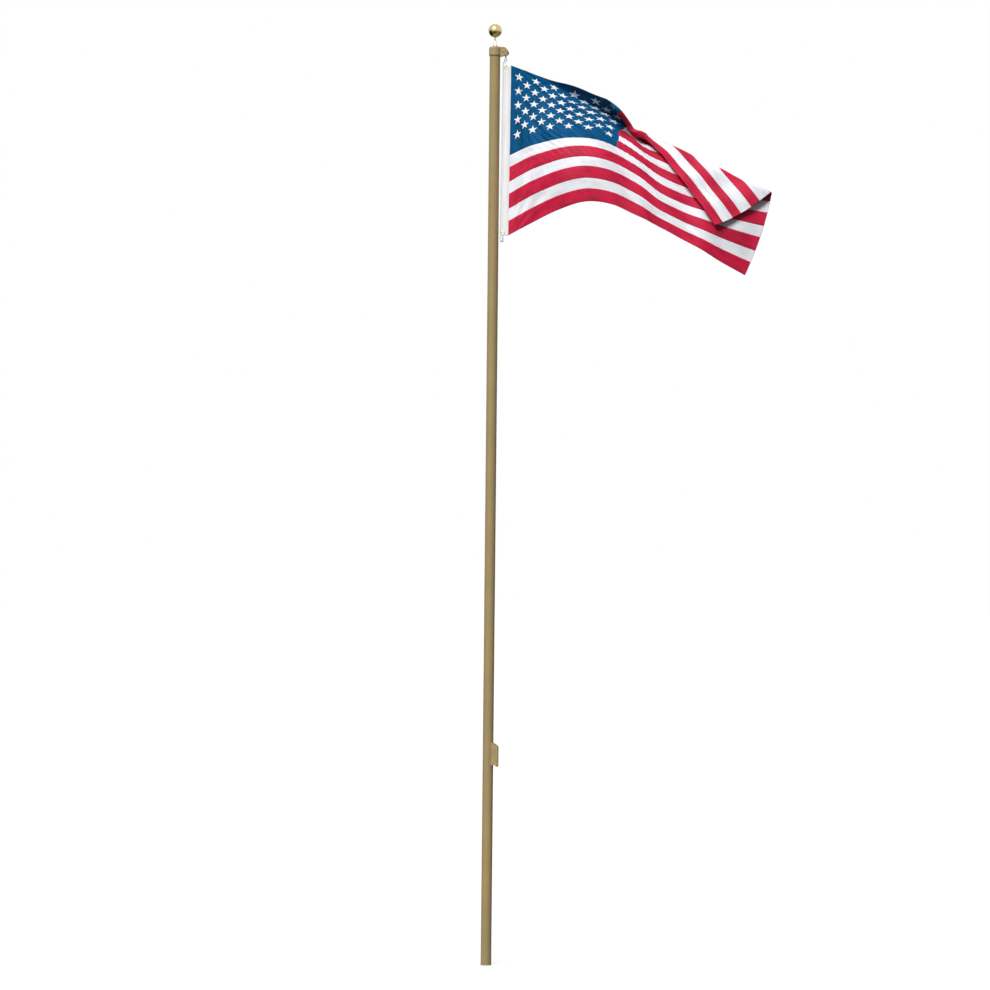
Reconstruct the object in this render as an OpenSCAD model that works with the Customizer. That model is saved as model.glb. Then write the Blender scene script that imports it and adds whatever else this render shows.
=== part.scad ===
// Flagpole with an internal halyard, a revolving truck, a ball finial and a flying flag.
// Millimetres, +Z up. The origin is the centre of the pole's foot at ground level.
// +X points along the flag, towards its fly end, and the flag's face looks towards -Y.

/* [Pole] */
// Height of the pole's tube above the ground
pole_h = 4877; // [3600:1:6100]
// Outside diameter of the tube
pole_od = 57; // [50:0.5:76]
// Wall of the tube
pole_wall = 4.5; // [3:0.5:8]
// Outside diameter of the flared butt at the ground
butt_od = 59; // [57:0.5:80]
// Height over which the butt flares
butt_h = 150; // [80:1:300]
// Thickness of the closed foot of the tube
butt_floor = 12; // [6:1:30]

/* [Truck] */
// Thickness of the ferrule's flange on top of the tube
flange_t = 4; // [3:0.5:8]
// Depth of the ferrule's spigot inside the tube
spigot_h = 60; // [30:1:100]
// Wall of the ferrule's spigot and bearing collar
spigot_wall = 4; // [3:0.5:6]
// Height of the bearing collar that the cap turns on
collar_h = 10; // [6:0.5:16]
// Thickness of the bearing washer under the cap
washer_t = 2.5; // [1.5:0.5:5]
// Outside diameter of the revolving cap
cap_od = 65; // [62:0.5:90]
// Height of the revolving cap
cap_h = 51; // [46:0.5:70]
// Radius of the cap's shoulder
cap_round = 9; // [4:0.5:14]
// Reach of the beak's nose from the pole's axis
beak_reach = 76.5; // [75:0.5:100]
// Height of the beak's nose above the beak's lower edge
beak_tip = 18; // [12:0.5:24]
// Rise of the beak's lower edge towards its nose
beak_rise = 6; // [2:0.5:8]
// Width of the beak
beak_w = 34; // [28:0.5:44]
// Radius of the beak's upper nose
beak_round = 32; // [20:0.5:38]
// Wall of the beak around the sheave's slot
beak_wall = 6; // [4:0.5:9]
// Outside diameter of the sheave
sheave_od = 32; // [28:0.5:38]
// Diameter of the sheave's pin
sheave_pin_d = 8; // [6:0.5:10]

/* [Finial] */
// Diameter of the finial's ball
ball_d = 72; // [60:0.5:100]
// Height of the boss on top of the cap
boss_h = 5; // [3:0.5:10]
// Diameter of the boss
boss_d = 27; // [24:0.5:36]
// Height of the finial's conical hub
hub_h = 26; // [20:0.5:40]
// Diameter of the hub's lower end
hub_low_d = 23; // [20:0.5:34]
// Diameter of the hub's upper end
hub_top_d = 14.5; // [14:0.5:20]
// Diameter of the finial's stem
stem_d = 10; // [8:0.5:11]
// Length of stem that shows between the hub and the ball
stem_gap = 20; // [8:0.5:30]
// Depth of the stem inside the hub and inside the ball
stem_seat = 12; // [8:0.5:18]

/* [Halyard] */
// Diameter of the halyard
rope_d = 8; // [6:0.5:9]
// Distance from the pole's axis to the rope that hangs from the beak
drop_x = 58; // [55:0.5:62]

/* [Cleat box] */
// Height of the box's lower edge above the ground
box_z = 1074; // [900:1:1300]
// Height of the box
box_h = 121; // [118:1:160]
// Width of the box across the pole
box_w = 48; // [44:0.5:54]
// Reach of the cover from the pole's axis
box_reach = 56.5; // [55:0.5:70]
// Distance of the seam between base and cover from the pole's axis
seam_x = 40; // [38:0.5:44]
// Length of the cover's finger lip below the base
cover_lip = 8; // [6:0.5:20]
// Wall of the base and the cover
box_wall = 3; // [2:0.5:4]
// Drop of the sloping top from the pole to the seam
slope_drop = 8; // [5:0.5:12]
// Diameter of the cover's hinge pin
hinge_d = 3.6; // [3:0.2:4.4]
// Wall of the hinge's knuckles around the pin
knuckle_wall = 2.4; // [2:0.2:3]

/* [Flag] */
// Length of the flag's hoist edge
hoist = 914; // [900:1:930]
// Length of the flag along the fly
fly = 1486; // [1460:1:1510]
// Thickness of the flag's cloth
cloth_t = 2.4; // [1.6:0.2:4]
// Drop of the flag's upper hoist corner below the truck's cap
flag_drop = 48; // [42:0.5:60]
// Width of the header along the hoist
header_w = 38; // [34:0.5:44]
// Thickness of the header
header_t = 3; // [2:0.2:4]
// Distance from the pole's axis to the header's upper pole-side corner
header_x = 49; // [46:0.5:54]
// Lean of the hoist towards the pole over the header's height
hoist_lean = 6.5; // [0:0.5:10]
// Radius of the roll where the upper fly corner folds over
roll_r = 15; // [13:0.5:30]
// Angle through which the upper fly corner turns over
fold_turn = 180; // [150:1:182]
// Flat distance along the top edge where the fold starts
fold_start = 505; // [480:5:560]
// Flat distance down the fly edge where the fold ends
fold_end = 468; // [440:2:490]
// Slip of the folded corner along the fly for each millimetre beyond the roll
flap_slip = 0.19; // [0:0.01:0.3]
// Sag of the folded corner for each millimetre beyond the roll
flap_sag = 0.07; // [0:0.01:0.15]
// Flat distance along the top edge where the crease in the canton starts
crease_start = 195; // [150:5:240]
// Drop of the crease for each millimetre along the fly
crease_slope = 0.41; // [0.3:0.01:0.5]
// Softness of the crease
crease_round = 12; // [8:1:24]
// Share of the cloth above the crease that leans out to the front
lip_lean = 1.7; // [0.6:0.05:2]
// Share of the cloth above the crease that stands up
lip_rise = 0.35; // [0:0.05:0.5]
// Push of the crease towards the fly end
crease_push = 45; // [0:1:60]
// Inside diameter of the header's grommets
grommet_d = 11; // [9:0.5:14]
// Distance of each grommet from the header's end
grommet_inset = 13; // [12:0.5:18]
// Diameter of the snaps' wire
snap_wire = 4; // [3:0.2:4.6]

/* [Hidden] */
$fn = 64;

// Clearances: still seats, running pins, and faces of different bodies
seat_gap = 0.1;
pin_gap = 0.05;
body_gap = 0.3;
// Seam between two panels of cloth
seam_gap = 0.4;
// Overrun of every cut past the face that it opens
over = 1;

// Colours
tan_paint = [0.66, 0.58, 0.42];
gold = [0.83, 0.62, 0.24];
silver = [0.75, 0.76, 0.78];
dark_nylon = [0.10, 0.10, 0.11];
rope_white = [0.88, 0.89, 0.90];
canvas_white = [0.93, 0.93, 0.91];
flag_red = [0.70, 0.08, 0.16];
flag_white = [0.92, 0.92, 0.95];
flag_blue = [0.05, 0.12, 0.32];

// Heights of the truck and the finial
pole_r = pole_od / 2;
bore_d = pole_od - 2 * pole_wall;
flange_z = pole_h + flange_t;
collar_od = bore_d - 2 * seat_gap;
collar_id = collar_od - 2 * spigot_wall;
cap_z = flange_z + washer_t + body_gap;
cap_top = cap_z + cap_h;
hub_z = cap_top + boss_h;
stem_z = hub_z + hub_h;
ball_r = ball_d / 2;
stem_top = stem_z + stem_gap;
ball_z = stem_top + sqrt(pow(ball_r, 2) - pow(stem_d / 2, 2));

// The sheave hangs the rope at drop_x
rope_r = rope_d / 2;
groove_r = rope_r + seat_gap;
sheave_r = sheave_od / 2;
pitch_r = sheave_r - 2.5;
sheave_w = rope_d + 3;
slot_w = sheave_w + 1;
sheave_x = drop_x - pitch_r;
slot_top = cap_top - beak_wall;
sheave_z = slot_top - sheave_r - 3;
beak_heel = 14;
beak_top = cap_top - 2;
nose_z = cap_z + beak_tip;
slot_reach = drop_x + 2 * rope_r;
cap_chamfer = 3.5;
cap_shoulder = [cap_od / 2 - cap_round, cap_top - cap_round];

// Truck cap: a turned bell with a round-nosed beak, slotted for the sheave
module beak_side() polygon(concat(
    [[0, cap_z], [cap_od / 2 + 3, cap_z]],
    [for (a = [-80:10:0])
        [beak_reach, nose_z] + [beak_heel * (cos(a) - 1), (beak_tip - beak_rise) * sin(a)]],
    [for (k = [1:15]) let (u = 1 - k / 15)
        [beak_reach + beak_round * (u - 1), beak_top - (beak_top - nose_z) * u * u]],
    [[0, beak_top]]
));

module slot_side() polygon(concat(
    [[0, cap_z - over], [slot_reach - 3, cap_z - over], [slot_reach - 3, cap_z + beak_rise + 2]],
    [for (a = [0:6:90])
        [slot_reach, nose_z] + [beak_round / 2 * (cos(a) - 1), (slot_top - over - nose_z) * sin(a)]],
    [[0, slot_top - over]]
));

module upright(w) {
    translate([0, w / 2, 0]) rotate([90, 0, 0]) linear_extrude(w) children();
}

module truck_cap() color(tan_paint) difference() {
    union() {
        rotate_extrude() polygon(concat(
            [[0, cap_z], [cap_od / 2 - cap_chamfer, cap_z], [cap_od / 2, cap_z + 2 * cap_chamfer]],
            [for (a = [0:6:90]) cap_shoulder + cap_round * [cos(a), sin(a)]],
            [[0, cap_top]]
        ));
        intersection() {
            upright(beak_w) beak_side();
            translate([0, 0, cap_z]) linear_extrude(cap_h) union() {
                translate([0, -beak_w / 2]) square([beak_reach - beak_w / 2, beak_w]);
                translate([beak_reach - beak_w / 2, 0]) circle(beak_w / 2);
            }
        }
        translate([0, 0, cap_top - over]) cylinder(d = boss_d, h = boss_h + over);
    }
    translate([0, 0, cap_z - over]) cylinder(d = collar_od + 2 * body_gap, h = collar_h + over + 1);
    translate([0, 0, cap_z]) cylinder(d = collar_id, h = slot_top - cap_z);
    upright(slot_w) slot_side();
    translate([sheave_x, 0, sheave_z]) rotate([90, 0, 0])
        cylinder(d = sheave_pin_d + 2 * seat_gap, h = beak_w + 2 * over, center = true);
    translate([0, 0, hub_z - stem_seat]) cylinder(d = stem_d + 2 * seat_gap, h = stem_seat + over);
}

module sheave() color(dark_nylon) translate([sheave_x, 0, sheave_z]) rotate([90, 0, 0])
    rotate_extrude() difference() {
        translate([sheave_pin_d / 2 + pin_gap, -sheave_w / 2])
            square([sheave_r - sheave_pin_d / 2 - pin_gap, sheave_w]);
        translate([pitch_r, 0]) circle(groove_r);
        translate([pitch_r, -groove_r]) square([sheave_r, 2 * groove_r]);
    }

module sheave_pin() color(silver) translate([sheave_x, 0, sheave_z]) rotate([90, 0, 0])
    cylinder(d = sheave_pin_d, h = beak_w, center = true);

// Fixed ferrule: a spigot in the tube, a flange on its end and the collar that the cap turns on
module truck_ferrule() color(tan_paint) difference() {
    union() {
        translate([0, 0, pole_h - spigot_h]) cylinder(d = collar_od, h = spigot_h + over);
        translate([0, 0, pole_h]) cylinder(d = pole_od, h = flange_t);
        translate([0, 0, flange_z - over]) cylinder(d = collar_od, h = collar_h + over);
    }
    translate([0, 0, pole_h - spigot_h - over])
        cylinder(d = collar_id, h = spigot_h + flange_t + collar_h + 2 * over);
}

module bearing_washer() color(dark_nylon) translate([0, 0, flange_z]) difference() {
    cylinder(d = pole_od - 1, h = washer_t);
    translate([0, 0, -over]) cylinder(d = collar_od + 2 * seat_gap, h = washer_t + 2 * over);
}

// Pole: a tube with a closed, flared foot and a slanting outlet behind the cleat box
module pole_shaft() color(tan_paint) difference() {
    rotate_extrude() polygon([
        [0, 0], [butt_od / 2, 0], [pole_r, butt_h], [pole_r, pole_h], [0, pole_h]
    ]);
    translate([0, 0, butt_floor]) cylinder(d = bore_d, h = pole_h);
    translate([pole_r - pole_wall / 2, 0, outlet_z]) rotate([0, 135, 0])
        cylinder(d = rope_d + 8, h = 6 * pole_wall, center = true);
}

// Finial
module finial_hub() color(silver) difference() {
    translate([0, 0, hub_z]) cylinder(d1 = hub_low_d, d2 = hub_top_d, h = hub_h);
    translate([0, 0, hub_z - over]) cylinder(d = stem_d + 2 * seat_gap, h = hub_h + 2 * over);
}

module finial_stem() color(gold)
    translate([0, 0, hub_z - stem_seat]) cylinder(d = stem_d, h = stem_top - hub_z + 2 * stem_seat);

module finial_ball() color(gold) difference() {
    translate([0, 0, ball_z]) sphere(d = ball_d, $fn = 96);
    translate([0, 0, stem_top - over]) cylinder(d = stem_d + 2 * seat_gap, h = stem_seat + over);
    translate([0, 0, stem_top - ball_r]) cylinder(d = stem_d + 2 * seat_gap, h = ball_r);
}

// Cleat box on the pole's +X side: a saddle base, a hinged cover and a toothed jam cleat
box_top = box_z + box_h;
seam_top = box_top - slope_drop;
hinge_sink = 2.6;
hinge_z = seam_top - hinge_sink;
knuckle_r = hinge_d / 2 + knuckle_wall;
slope = slope_drop / (seam_x - pole_r);
slope_angle = atan(slope);
cover_top = seam_top - slope * (box_reach - seam_x);
cover_round = 7;
plan_round = 9;
knuckle_w = box_w * 0.62;
inner_w = box_w - 2 * box_wall;

module base_side(inset) {
    edge = seam_x + (inset > 0 ? over : 0);
    polygon([
        [0, box_z + inset], [edge, box_z + inset], [edge, seam_top - inset],
        [pole_r, box_top - inset], [0, box_top - inset]
    ]);
}

// Side of the cover: straight at the seam, rounded below and where its slope turns into its face
module cover_side(inset) {
    r = cover_round - inset / 2;
    face = box_reach - inset;
    low = box_z - cover_lip + inset;
    start = seam_x + (inset > 0 ? -over : body_gap);
    crown = cover_top - inset + slope * (inset + r) - r / cos(slope_angle);
    polygon(concat(
        [[start, low]],
        [for (a = [-90:18:0]) [face - r + r * cos(a), low + r + r * sin(a)]],
        [for (k = [0:6]) let (a = k * (90 - slope_angle) / 6) [face - r + r * cos(a), crown + r * sin(a)]],
        [[start, seam_top - inset - slope * (start - seam_x)]]
    ));
}

module cover_plan(inset, w) {
    r = plan_round - inset;
    face = box_reach - inset;
    polygon(concat(
        [[0, -w / 2]],
        [for (a = [-90:15:0]) [face - r + r * cos(a), r - w / 2 + r * sin(a)]],
        [for (a = [0:15:90]) [face - r + r * cos(a), w / 2 - r + r * sin(a)]],
        [[0, w / 2]]
    ));
}

module cover_block(inset, w) intersection() {
    upright(w) cover_side(inset);
    translate([0, 0, box_z - cover_lip - over])
        linear_extrude(box_h + cover_lip + 2 * over) cover_plan(inset, w);
}

module hinge_rod(d, w)
    translate([seam_x, 0, hinge_z]) rotate([90, 0, 0]) cylinder(d = d, h = w, center = true);

module cleat_base() color(tan_paint) difference() {
    union() {
        upright(box_w) base_side(0);
        hinge_rod(2 * knuckle_r, box_w);
    }
    difference() {
        upright(inner_w) base_side(box_wall);
        hinge_rod(2 * knuckle_r, inner_w + 2 * over);
    }
    hinge_rod(2 * (knuckle_r + body_gap), knuckle_w + 2 * body_gap);
    hinge_rod(hinge_d + 2 * pin_gap, box_w + 2 * over);
    translate([0, 0, box_z - over]) cylinder(r = pole_r + seat_gap, h = box_h + slope_drop + 2 * over);
}

module cleat_cover() color(tan_paint) difference() {
    union() {
        cover_block(0, box_w);
        hinge_rod(2 * knuckle_r, knuckle_w);
    }
    difference() {
        cover_block(box_wall, inner_w);
        hinge_rod(2 * knuckle_r, inner_w + 2 * over);
    }
    for (side = [-1, 1]) translate([0, side * (knuckle_w + box_w) / 4 + side * over, 0])
        hinge_rod(2 * (knuckle_r + body_gap), (box_w - knuckle_w) / 2 + 2 * over);
    hinge_rod(hinge_d + 2 * pin_gap, box_w + 2 * over);
}

module hinge_pin() color(silver) hinge_rod(hinge_d, box_w - 2);

cleat_z = box_z + 26;
cleat_h = 52;
cleat_top = cleat_z + cleat_h;
cleat_x = seam_x + 2;
groove_x = 38;
outlet_z = cleat_top + 17;

module jam_cleat() color(dark_nylon) difference() {
    translate([pole_r - 6, -11, cleat_z]) cube([cleat_x - pole_r + 6, 22, cleat_h]);
    translate([0, 0, cleat_z - over]) cylinder(r = pole_r + seat_gap, h = cleat_h + 2 * over);
    translate([groove_x, 0, cleat_z - over]) cylinder(r = groove_r + body_gap, h = cleat_h + 2 * over);
    translate([groove_x, -groove_r - body_gap, cleat_z - over])
        cube([20, 2 * (groove_r + body_gap), cleat_h + 2 * over]);
    for (k = [0:6]) translate([groove_x, 0, cleat_z + 5 + 7 * k]) rotate([0, -25, 0])
        translate([0, -groove_r - 2, -1]) cube([12, 2 * groove_r + 4, 2]);
}

// Snaps and grommets at the two ends of the header
flag_z = cap_z - flag_drop;
function lean_x(z) = -hoist_lean * (flag_z - z) / hoist;
header_low = flag_z - hoist;
cloth_x = header_x + header_w;
hole_z = [flag_z - grommet_inset, header_low + grommet_inset];
hole_x = [drop_x, drop_x + lean_x(hole_z[1])];
hook_r = grommet_inset - 3.5;
barrel_h = 8;
eye_r = 1.4 * snap_wire;
eye_wire = 0.9 * snap_wire;
hook_seat = grommet_d / 2 - snap_wire / 2 - body_gap;
eye_rise = hook_seat + 2 * hook_r + barrel_h + snap_wire;
eye_z = [hole_z[0] + eye_rise, hole_z[1] - eye_rise];
grommet_rim = 4;

// Halyard: one tube swept along hand-set points
function unit(v) = v / norm(v);
function tangent(p, i) = unit(p[min(i + 1, len(p) - 1)] - p[max(i - 1, 0)]);

module rope(points) {
    sides = 10;
    rings = [for (i = [0:len(points) - 1]) let (t = tangent(points, i), across = unit(cross([0, 1, 0], t)))
        for (k = [0:sides - 1]) let (a = 360 * k / sides)
            points[i] + rope_r * (cos(a) * [0, 1, 0] + sin(a) * across)];
    last = len(points) - 1;
    polyhedron(rings, concat(
        [[for (k = [0:sides - 1]) k]],
        [for (i = [0:last - 1], k = [0:sides - 1])
            let (m = (k + 1) % sides, below = i * sides, above = (i + 1) * sides)
            [below + k, above + k, above + m, below + m]],
        [[for (k = [sides - 1:-1:0]) last * sides + k]]
    ));
}

joint_z = pole_h - 10;
inner_route = [
    [0, 0, joint_z - body_gap], [0, 0, outlet_z + 60], [1, 0, outlet_z + 40], [8, 0, outlet_z + 22],
    [18, 0, outlet_z + 9], [27, 0, outlet_z - 1], [34, 0, outlet_z - 8], [groove_x, 0, cleat_top + 2],
    [groove_x, 0, cleat_z - 8]
];
wrap = [for (a = [135:-15:0]) [sheave_x + pitch_r * cos(a), 0, sheave_z + pitch_r * sin(a)]];
lead_route = concat(
    [[0, 0, joint_z], [0, 0, joint_z + 10], [5, 0, joint_z + 22], [15, 0, joint_z + 34]], wrap,
    [[drop_x, 0, cap_z]]
);
drop_route = [[drop_x, 0, cap_z], [drop_x, 0, eye_z[0] + eye_r + eye_wire / 2 + body_gap]];

module halyard_inner() color(rope_white) rope(inner_route);
module halyard_lead() color(rope_white) rope(lead_route);
module halyard_drop() color(rope_white) rope(drop_route);

// Header, grommets, snaps and the halyard between the snaps
module flag_header() color(canvas_white) difference() {
    upright(header_t) polygon([
        [header_x, flag_z], [cloth_x, flag_z],
        [cloth_x - hoist_lean, header_low], [header_x - hoist_lean, header_low]
    ]);
    for (i = [0, 1]) translate([hole_x[i], 0, hole_z[i]]) rotate([90, 0, 0])
        cylinder(d = grommet_d + 2, h = header_t + 2 * over, center = true);
}

module grommet() difference() {
    union() {
        cylinder(d = grommet_d + 2 - 2 * seat_gap, h = header_t + 2, center = true);
        for (side = [-1, 1]) translate([0, 0, side * (header_t / 2 + seat_gap + 0.5)])
            cylinder(d = grommet_d + 2 * grommet_rim, h = 1, center = true);
    }
    cylinder(d = grommet_d, h = header_t + 4, center = true);
}

module grommets() color(gold) for (i = [0, 1])
    translate([hole_x[i], 0, hole_z[i]]) rotate([90, 0, 0]) grommet();

module ring(r, wire) rotate_extrude() translate([r, 0]) circle(d = wire, $fn = 24);

// A snap hooked through a grommet, with its eye on the side that way points to
module snap(i, way) translate([hole_x[i], 0, hole_z[i] + way * (hook_seat + hook_r)])
    mirror([0, 0, way < 0 ? 1 : 0]) {
        rotate([0, 90, 0]) ring(hook_r, snap_wire);
        translate([0, 0, hook_r]) cylinder(d = snap_wire * 1.9, h = barrel_h);
        translate([0, 0, eye_rise - hook_seat - hook_r]) rotate([90, 0, 0]) ring(eye_r, eye_wire);
    }

module top_snap() color(silver) snap(0, 1);
module bottom_snap() color(silver) snap(1, -1);

run_x = hole_x[0] - grommet_d / 2 - grommet_rim - rope_r - body_gap;
tie_x = hole_x[1] - eye_r - eye_wire / 2 - rope_r - body_gap;
run_route = [
    [run_x, 0, eye_z[0]], [run_x, 0, flag_z - grommet_inset], [run_x - hoist_lean, 0, header_low],
    [tie_x, 0, eye_z[1]], [tie_x, 0, eye_z[1] - 2 * rope_d]
];

module halyard_run() color(rope_white) rope(run_route);

// Flag: a loft through three rails, with its upper fly corner rolled over to the front.
// Each rail point is [x, y, z] from the cloth's upper hoist corner, at an even step along the fly.
corner = [cloth_x, 0, flag_z];
rail_top = [
    [0, 0, 0], [140, 10, -50], [287, 45, -102], [434, 80, -160], [580, 70, -240], [715, 20, -365],
    [885, 40, -338], [1030, 60, -343], [1160, 60, -326], [1287, 40, -297], [1415, 10, -262]
];
rail_mid = [
    [-hoist_lean / 2, 0, -480], [116, -50, -430], [256, -110, -400], [412, -130, -396], [574, -110, -441],
    [700, -80, -520], [828, -60, -604], [964, -50, -652], [1104, -40, -684], [1251, -25, -702],
    [1400, -10, -714]
];
rail_low = [
    [-hoist_lean, 0, -hoist], [123, -40, -846], [257, -110, -784], [405, -160, -740], [548, -160, -755],
    [673, -140, -810], [788, -120, -862], [905, -100, -922], [1023, -80, -984], [1145, -50, -1054],
    [1268, -20, -1117]
];
mid_share = 7 / 13;

// Point on a rail: a Catmull-Rom curve, with its ends carried straight on
function rail_at(rail, i) =
    i < 0 ? 2 * rail[0] - rail[1] :
    i >= len(rail) ? 2 * rail[len(rail) - 1] - rail[len(rail) - 2] : rail[i];
function rail_point(rail, a) = let (
    n = len(rail) - 1, i = max(0, min(n - 1, floor(a * n))), t = a * n - i,
    p = rail_at(rail, i - 1), q = rail_at(rail, i), r = rail_at(rail, i + 1), s = rail_at(rail, i + 2)
) 0.5 * (2 * q + (r - p) * t + (2 * p - 5 * q + 4 * r - s) * t * t + (3 * q - 3 * r + s - p) * t * t * t);

// Above a slanting crease in the canton the cloth leans out to the front
function ease(x) = let (t = min(1, max(0, x))) t * t * (3 - 2 * t);
function lip(s, h) = let (
    deep = crease_slope * (s - crease_start),
    hang = norm([deep - h, crease_round]) + deep - h,
    full = norm([deep, crease_round]) + deep,
    share = ease((s - 60) / 240) * (1 - ease((s - 560) / 200)) / 2,
    near = exp(-pow((deep - h) / 110, 2)) * ease((s - 250) / 300) * (1 - ease((s - 594) / 160))
) [crease_push * near, -lip_lean * hang * share, lip_rise * share * (hang - full * pow(1 - h / hoist, 4))];

// Unfolded cloth: a parabola through the three rails at each step along the fly, and the lip
function cloth_base(s, h) = let (
    a = s / fly, b = h / hoist, m = mid_share,
    top = rail_point(rail_top, a), mid = rail_point(rail_mid, a), low = rail_point(rail_low, a)
) corner + top * (b - m) * (b - 1) / m + mid * b * (b - 1) / (m * (m - 1)) + low * b * (b - m) / (1 - m)
    + lip(s, h);

step = 4;
function base_normal(s, h) = unit(cross(
    cloth_base(s, h + step) - cloth_base(s, h - step), cloth_base(s + step, h) - cloth_base(s - step, h)
));

// Fold line in the flat cloth, and the way across it towards the upper fly corner
fold_len = norm([fly - fold_start, fold_end]);
fold_across = [fold_end, fold_start - fly] / fold_len;
roll_arc = roll_r * fold_turn * PI / 180;
function beyond(s, h) = [s - fold_start, h] * fold_across;

// The cloth beyond the fold line turns over a roll and hangs down in front
function cloth(s, h) = let (d = beyond(s, h)) d <= 0 ? cloth_base(s, h) : let (
    turn = min(d / roll_r * 180 / PI, fold_turn), past = max(0, d - roll_arc),
    reach = roll_r * sin(turn) + past * cos(turn),
    lift = roll_r * (1 - cos(turn)) + past * sin(turn),
    p = [s, h] + (reach - d) * fold_across
) cloth_base(p[0], p[1]) + lift * base_normal(p[0], p[1]) + past * [flap_slip, 0, -flap_sag];

// Beside the header the cloth takes the header's face
function cloth_normal(s, h) = s < step ? [0, -1, 0] : unit(cross(
    cloth(s, h + step) - cloth(s, h - step), cloth(s + step, h) - cloth(s - step, h)
));

// Grid of the cloth: columns along the fly, rows per stripe
columns = 50;
canton_columns = 20;
stripes = 13;
canton_stripes = 7;
stripe_rows = 2;
rows = stripes * stripe_rows;
function seam(k, k0, k1) = k == k0 ? seam_gap / 2 : k == k1 ? -seam_gap / 2 : 0;

// One closed panel of cloth between two columns and two rows of the grid
module panel(i0, i1, j0, j1) {
    nj = j1 - j0 + 1;
    count = (i1 - i0 + 1) * nj;
    flat = [for (i = [i0:i1], j = [j0:j1])
        [fly * i / columns + seam(i, i0, i1), hoist * j / rows + seam(j, j0, j1)]];
    points = [for (side = [1, -1]) for (f = flat)
        cloth(f[0], f[1]) + side * cloth_t / 2 * cloth_normal(f[0], f[1])];
    function at(p, side) = (p[0] - i0) * nj + (p[1] - j0) + side * count;
    rim = concat(
        [for (i = [i0:i1 - 1]) [i, j0]], [for (j = [j0:j1 - 1]) [i1, j]],
        [for (i = [i1:-1:i0 + 1]) [i, j1]], [for (j = [j1:-1:j0 + 1]) [i0, j]]
    );
    n = len(rim);
    front = [for (i = [i0:i1 - 1], j = [j0:j1 - 1], k = [0, 1]) k == 0 ?
        [at([i, j], 0), at([i + 1, j], 0), at([i + 1, j + 1], 0)] :
        [at([i, j], 0), at([i + 1, j + 1], 0), at([i, j + 1], 0)]];
    back = [for (i = [i0:i1 - 1], j = [j0:j1 - 1], k = [0, 1]) k == 0 ?
        [at([i, j], 1), at([i + 1, j + 1], 1), at([i + 1, j], 1)] :
        [at([i, j], 1), at([i, j + 1], 1), at([i + 1, j + 1], 1)]];
    // Two panels that share a seam split its faces along the same diagonal
    edge = [for (e = [0:n - 1], k = [0, 1])
        let (p = rim[e], q = rim[(e + 1) % n], up = q[0] + q[1] > p[0] + p[1])
        k == 0 ? [at(p, 0), at(p, 1), at(q, up ? 1 : 0)] : [at(p, up ? 0 : 1), at(q, 1), at(q, 0)]];
    polyhedron(points, concat(front, back, edge));
}

module stripe(k)
    panel(k < canton_stripes ? canton_columns : 0, columns, k * stripe_rows, (k + 1) * stripe_rows);

module flag_canton() color(flag_blue) panel(0, canton_columns, 0, canton_stripes * stripe_rows);
module flag_red_stripes() color(flag_red) for (k = [0:2:stripes - 1]) stripe(k);
module flag_white_stripes() color(flag_white) for (k = [1:2:stripes - 1]) stripe(k);

pole_shaft();
truck_ferrule();
bearing_washer();
cleat_base();
hinge_pin();
jam_cleat();
halyard_inner();
cleat_cover();
truck_cap();
sheave();
sheave_pin();
finial_hub();
finial_stem();
finial_ball();
halyard_lead();
halyard_drop();
top_snap();
bottom_snap();
halyard_run();
flag_header();
grommets();
flag_canton();
flag_red_stripes();
flag_white_stripes();
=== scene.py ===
"""Looks of a garden flagpole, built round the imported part.

Lengths are worked out in millimetres, in the part's own frame, and put into the meshes in metres.
"""

import logging
import math
from dataclasses import dataclass, field
from enum import Enum
from functools import cache
from typing import Any, Callable, Sequence

import bmesh
import bpy
import numpy as np
from mathutils import Matrix, Vector


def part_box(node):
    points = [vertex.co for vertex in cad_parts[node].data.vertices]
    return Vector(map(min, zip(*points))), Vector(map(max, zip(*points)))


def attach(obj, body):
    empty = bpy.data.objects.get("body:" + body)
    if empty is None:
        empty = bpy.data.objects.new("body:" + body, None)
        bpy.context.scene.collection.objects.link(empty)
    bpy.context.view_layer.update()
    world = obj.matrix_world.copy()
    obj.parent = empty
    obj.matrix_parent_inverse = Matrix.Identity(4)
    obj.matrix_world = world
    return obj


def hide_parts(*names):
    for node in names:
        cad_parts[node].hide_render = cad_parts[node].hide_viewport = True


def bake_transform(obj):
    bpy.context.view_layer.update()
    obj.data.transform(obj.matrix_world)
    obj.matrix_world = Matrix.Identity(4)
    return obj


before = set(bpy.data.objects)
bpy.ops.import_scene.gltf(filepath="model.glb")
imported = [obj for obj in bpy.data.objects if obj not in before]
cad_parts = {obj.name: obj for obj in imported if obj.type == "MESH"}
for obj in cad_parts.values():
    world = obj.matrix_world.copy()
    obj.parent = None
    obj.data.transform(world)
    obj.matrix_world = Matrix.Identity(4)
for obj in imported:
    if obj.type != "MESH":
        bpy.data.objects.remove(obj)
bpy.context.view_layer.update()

LOG = logging.getLogger("flagpole")
Array = np.ndarray
Socket = bpy.types.NodeSocket
Triple = tuple[float, float, float]
MM = 0.001
FULL_TURN = 2 * math.pi
RIGHT_ANGLE = math.pi / 2
WHITE = (1.0, 1.0, 1.0, 1.0)

# Sizes that more than one sub-assembly uses
POLE_H = 4877.0
CAP_Z = 4883.8
FLAG_Z = 4835.8
HOIST = 914.0
LEAN = 6.5
DROP_X = 58.0
ROPE = 4.0


class Body(str, Enum):
    """The part's bodies that carry new pieces."""

    POLE = "pole"
    TRUCK = "truck"
    FLAG = "flag"


class Face(Enum):
    """The two faces of the cloth."""

    FRONT = 1
    REVERSE = -1


# Arrays and meshes


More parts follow.
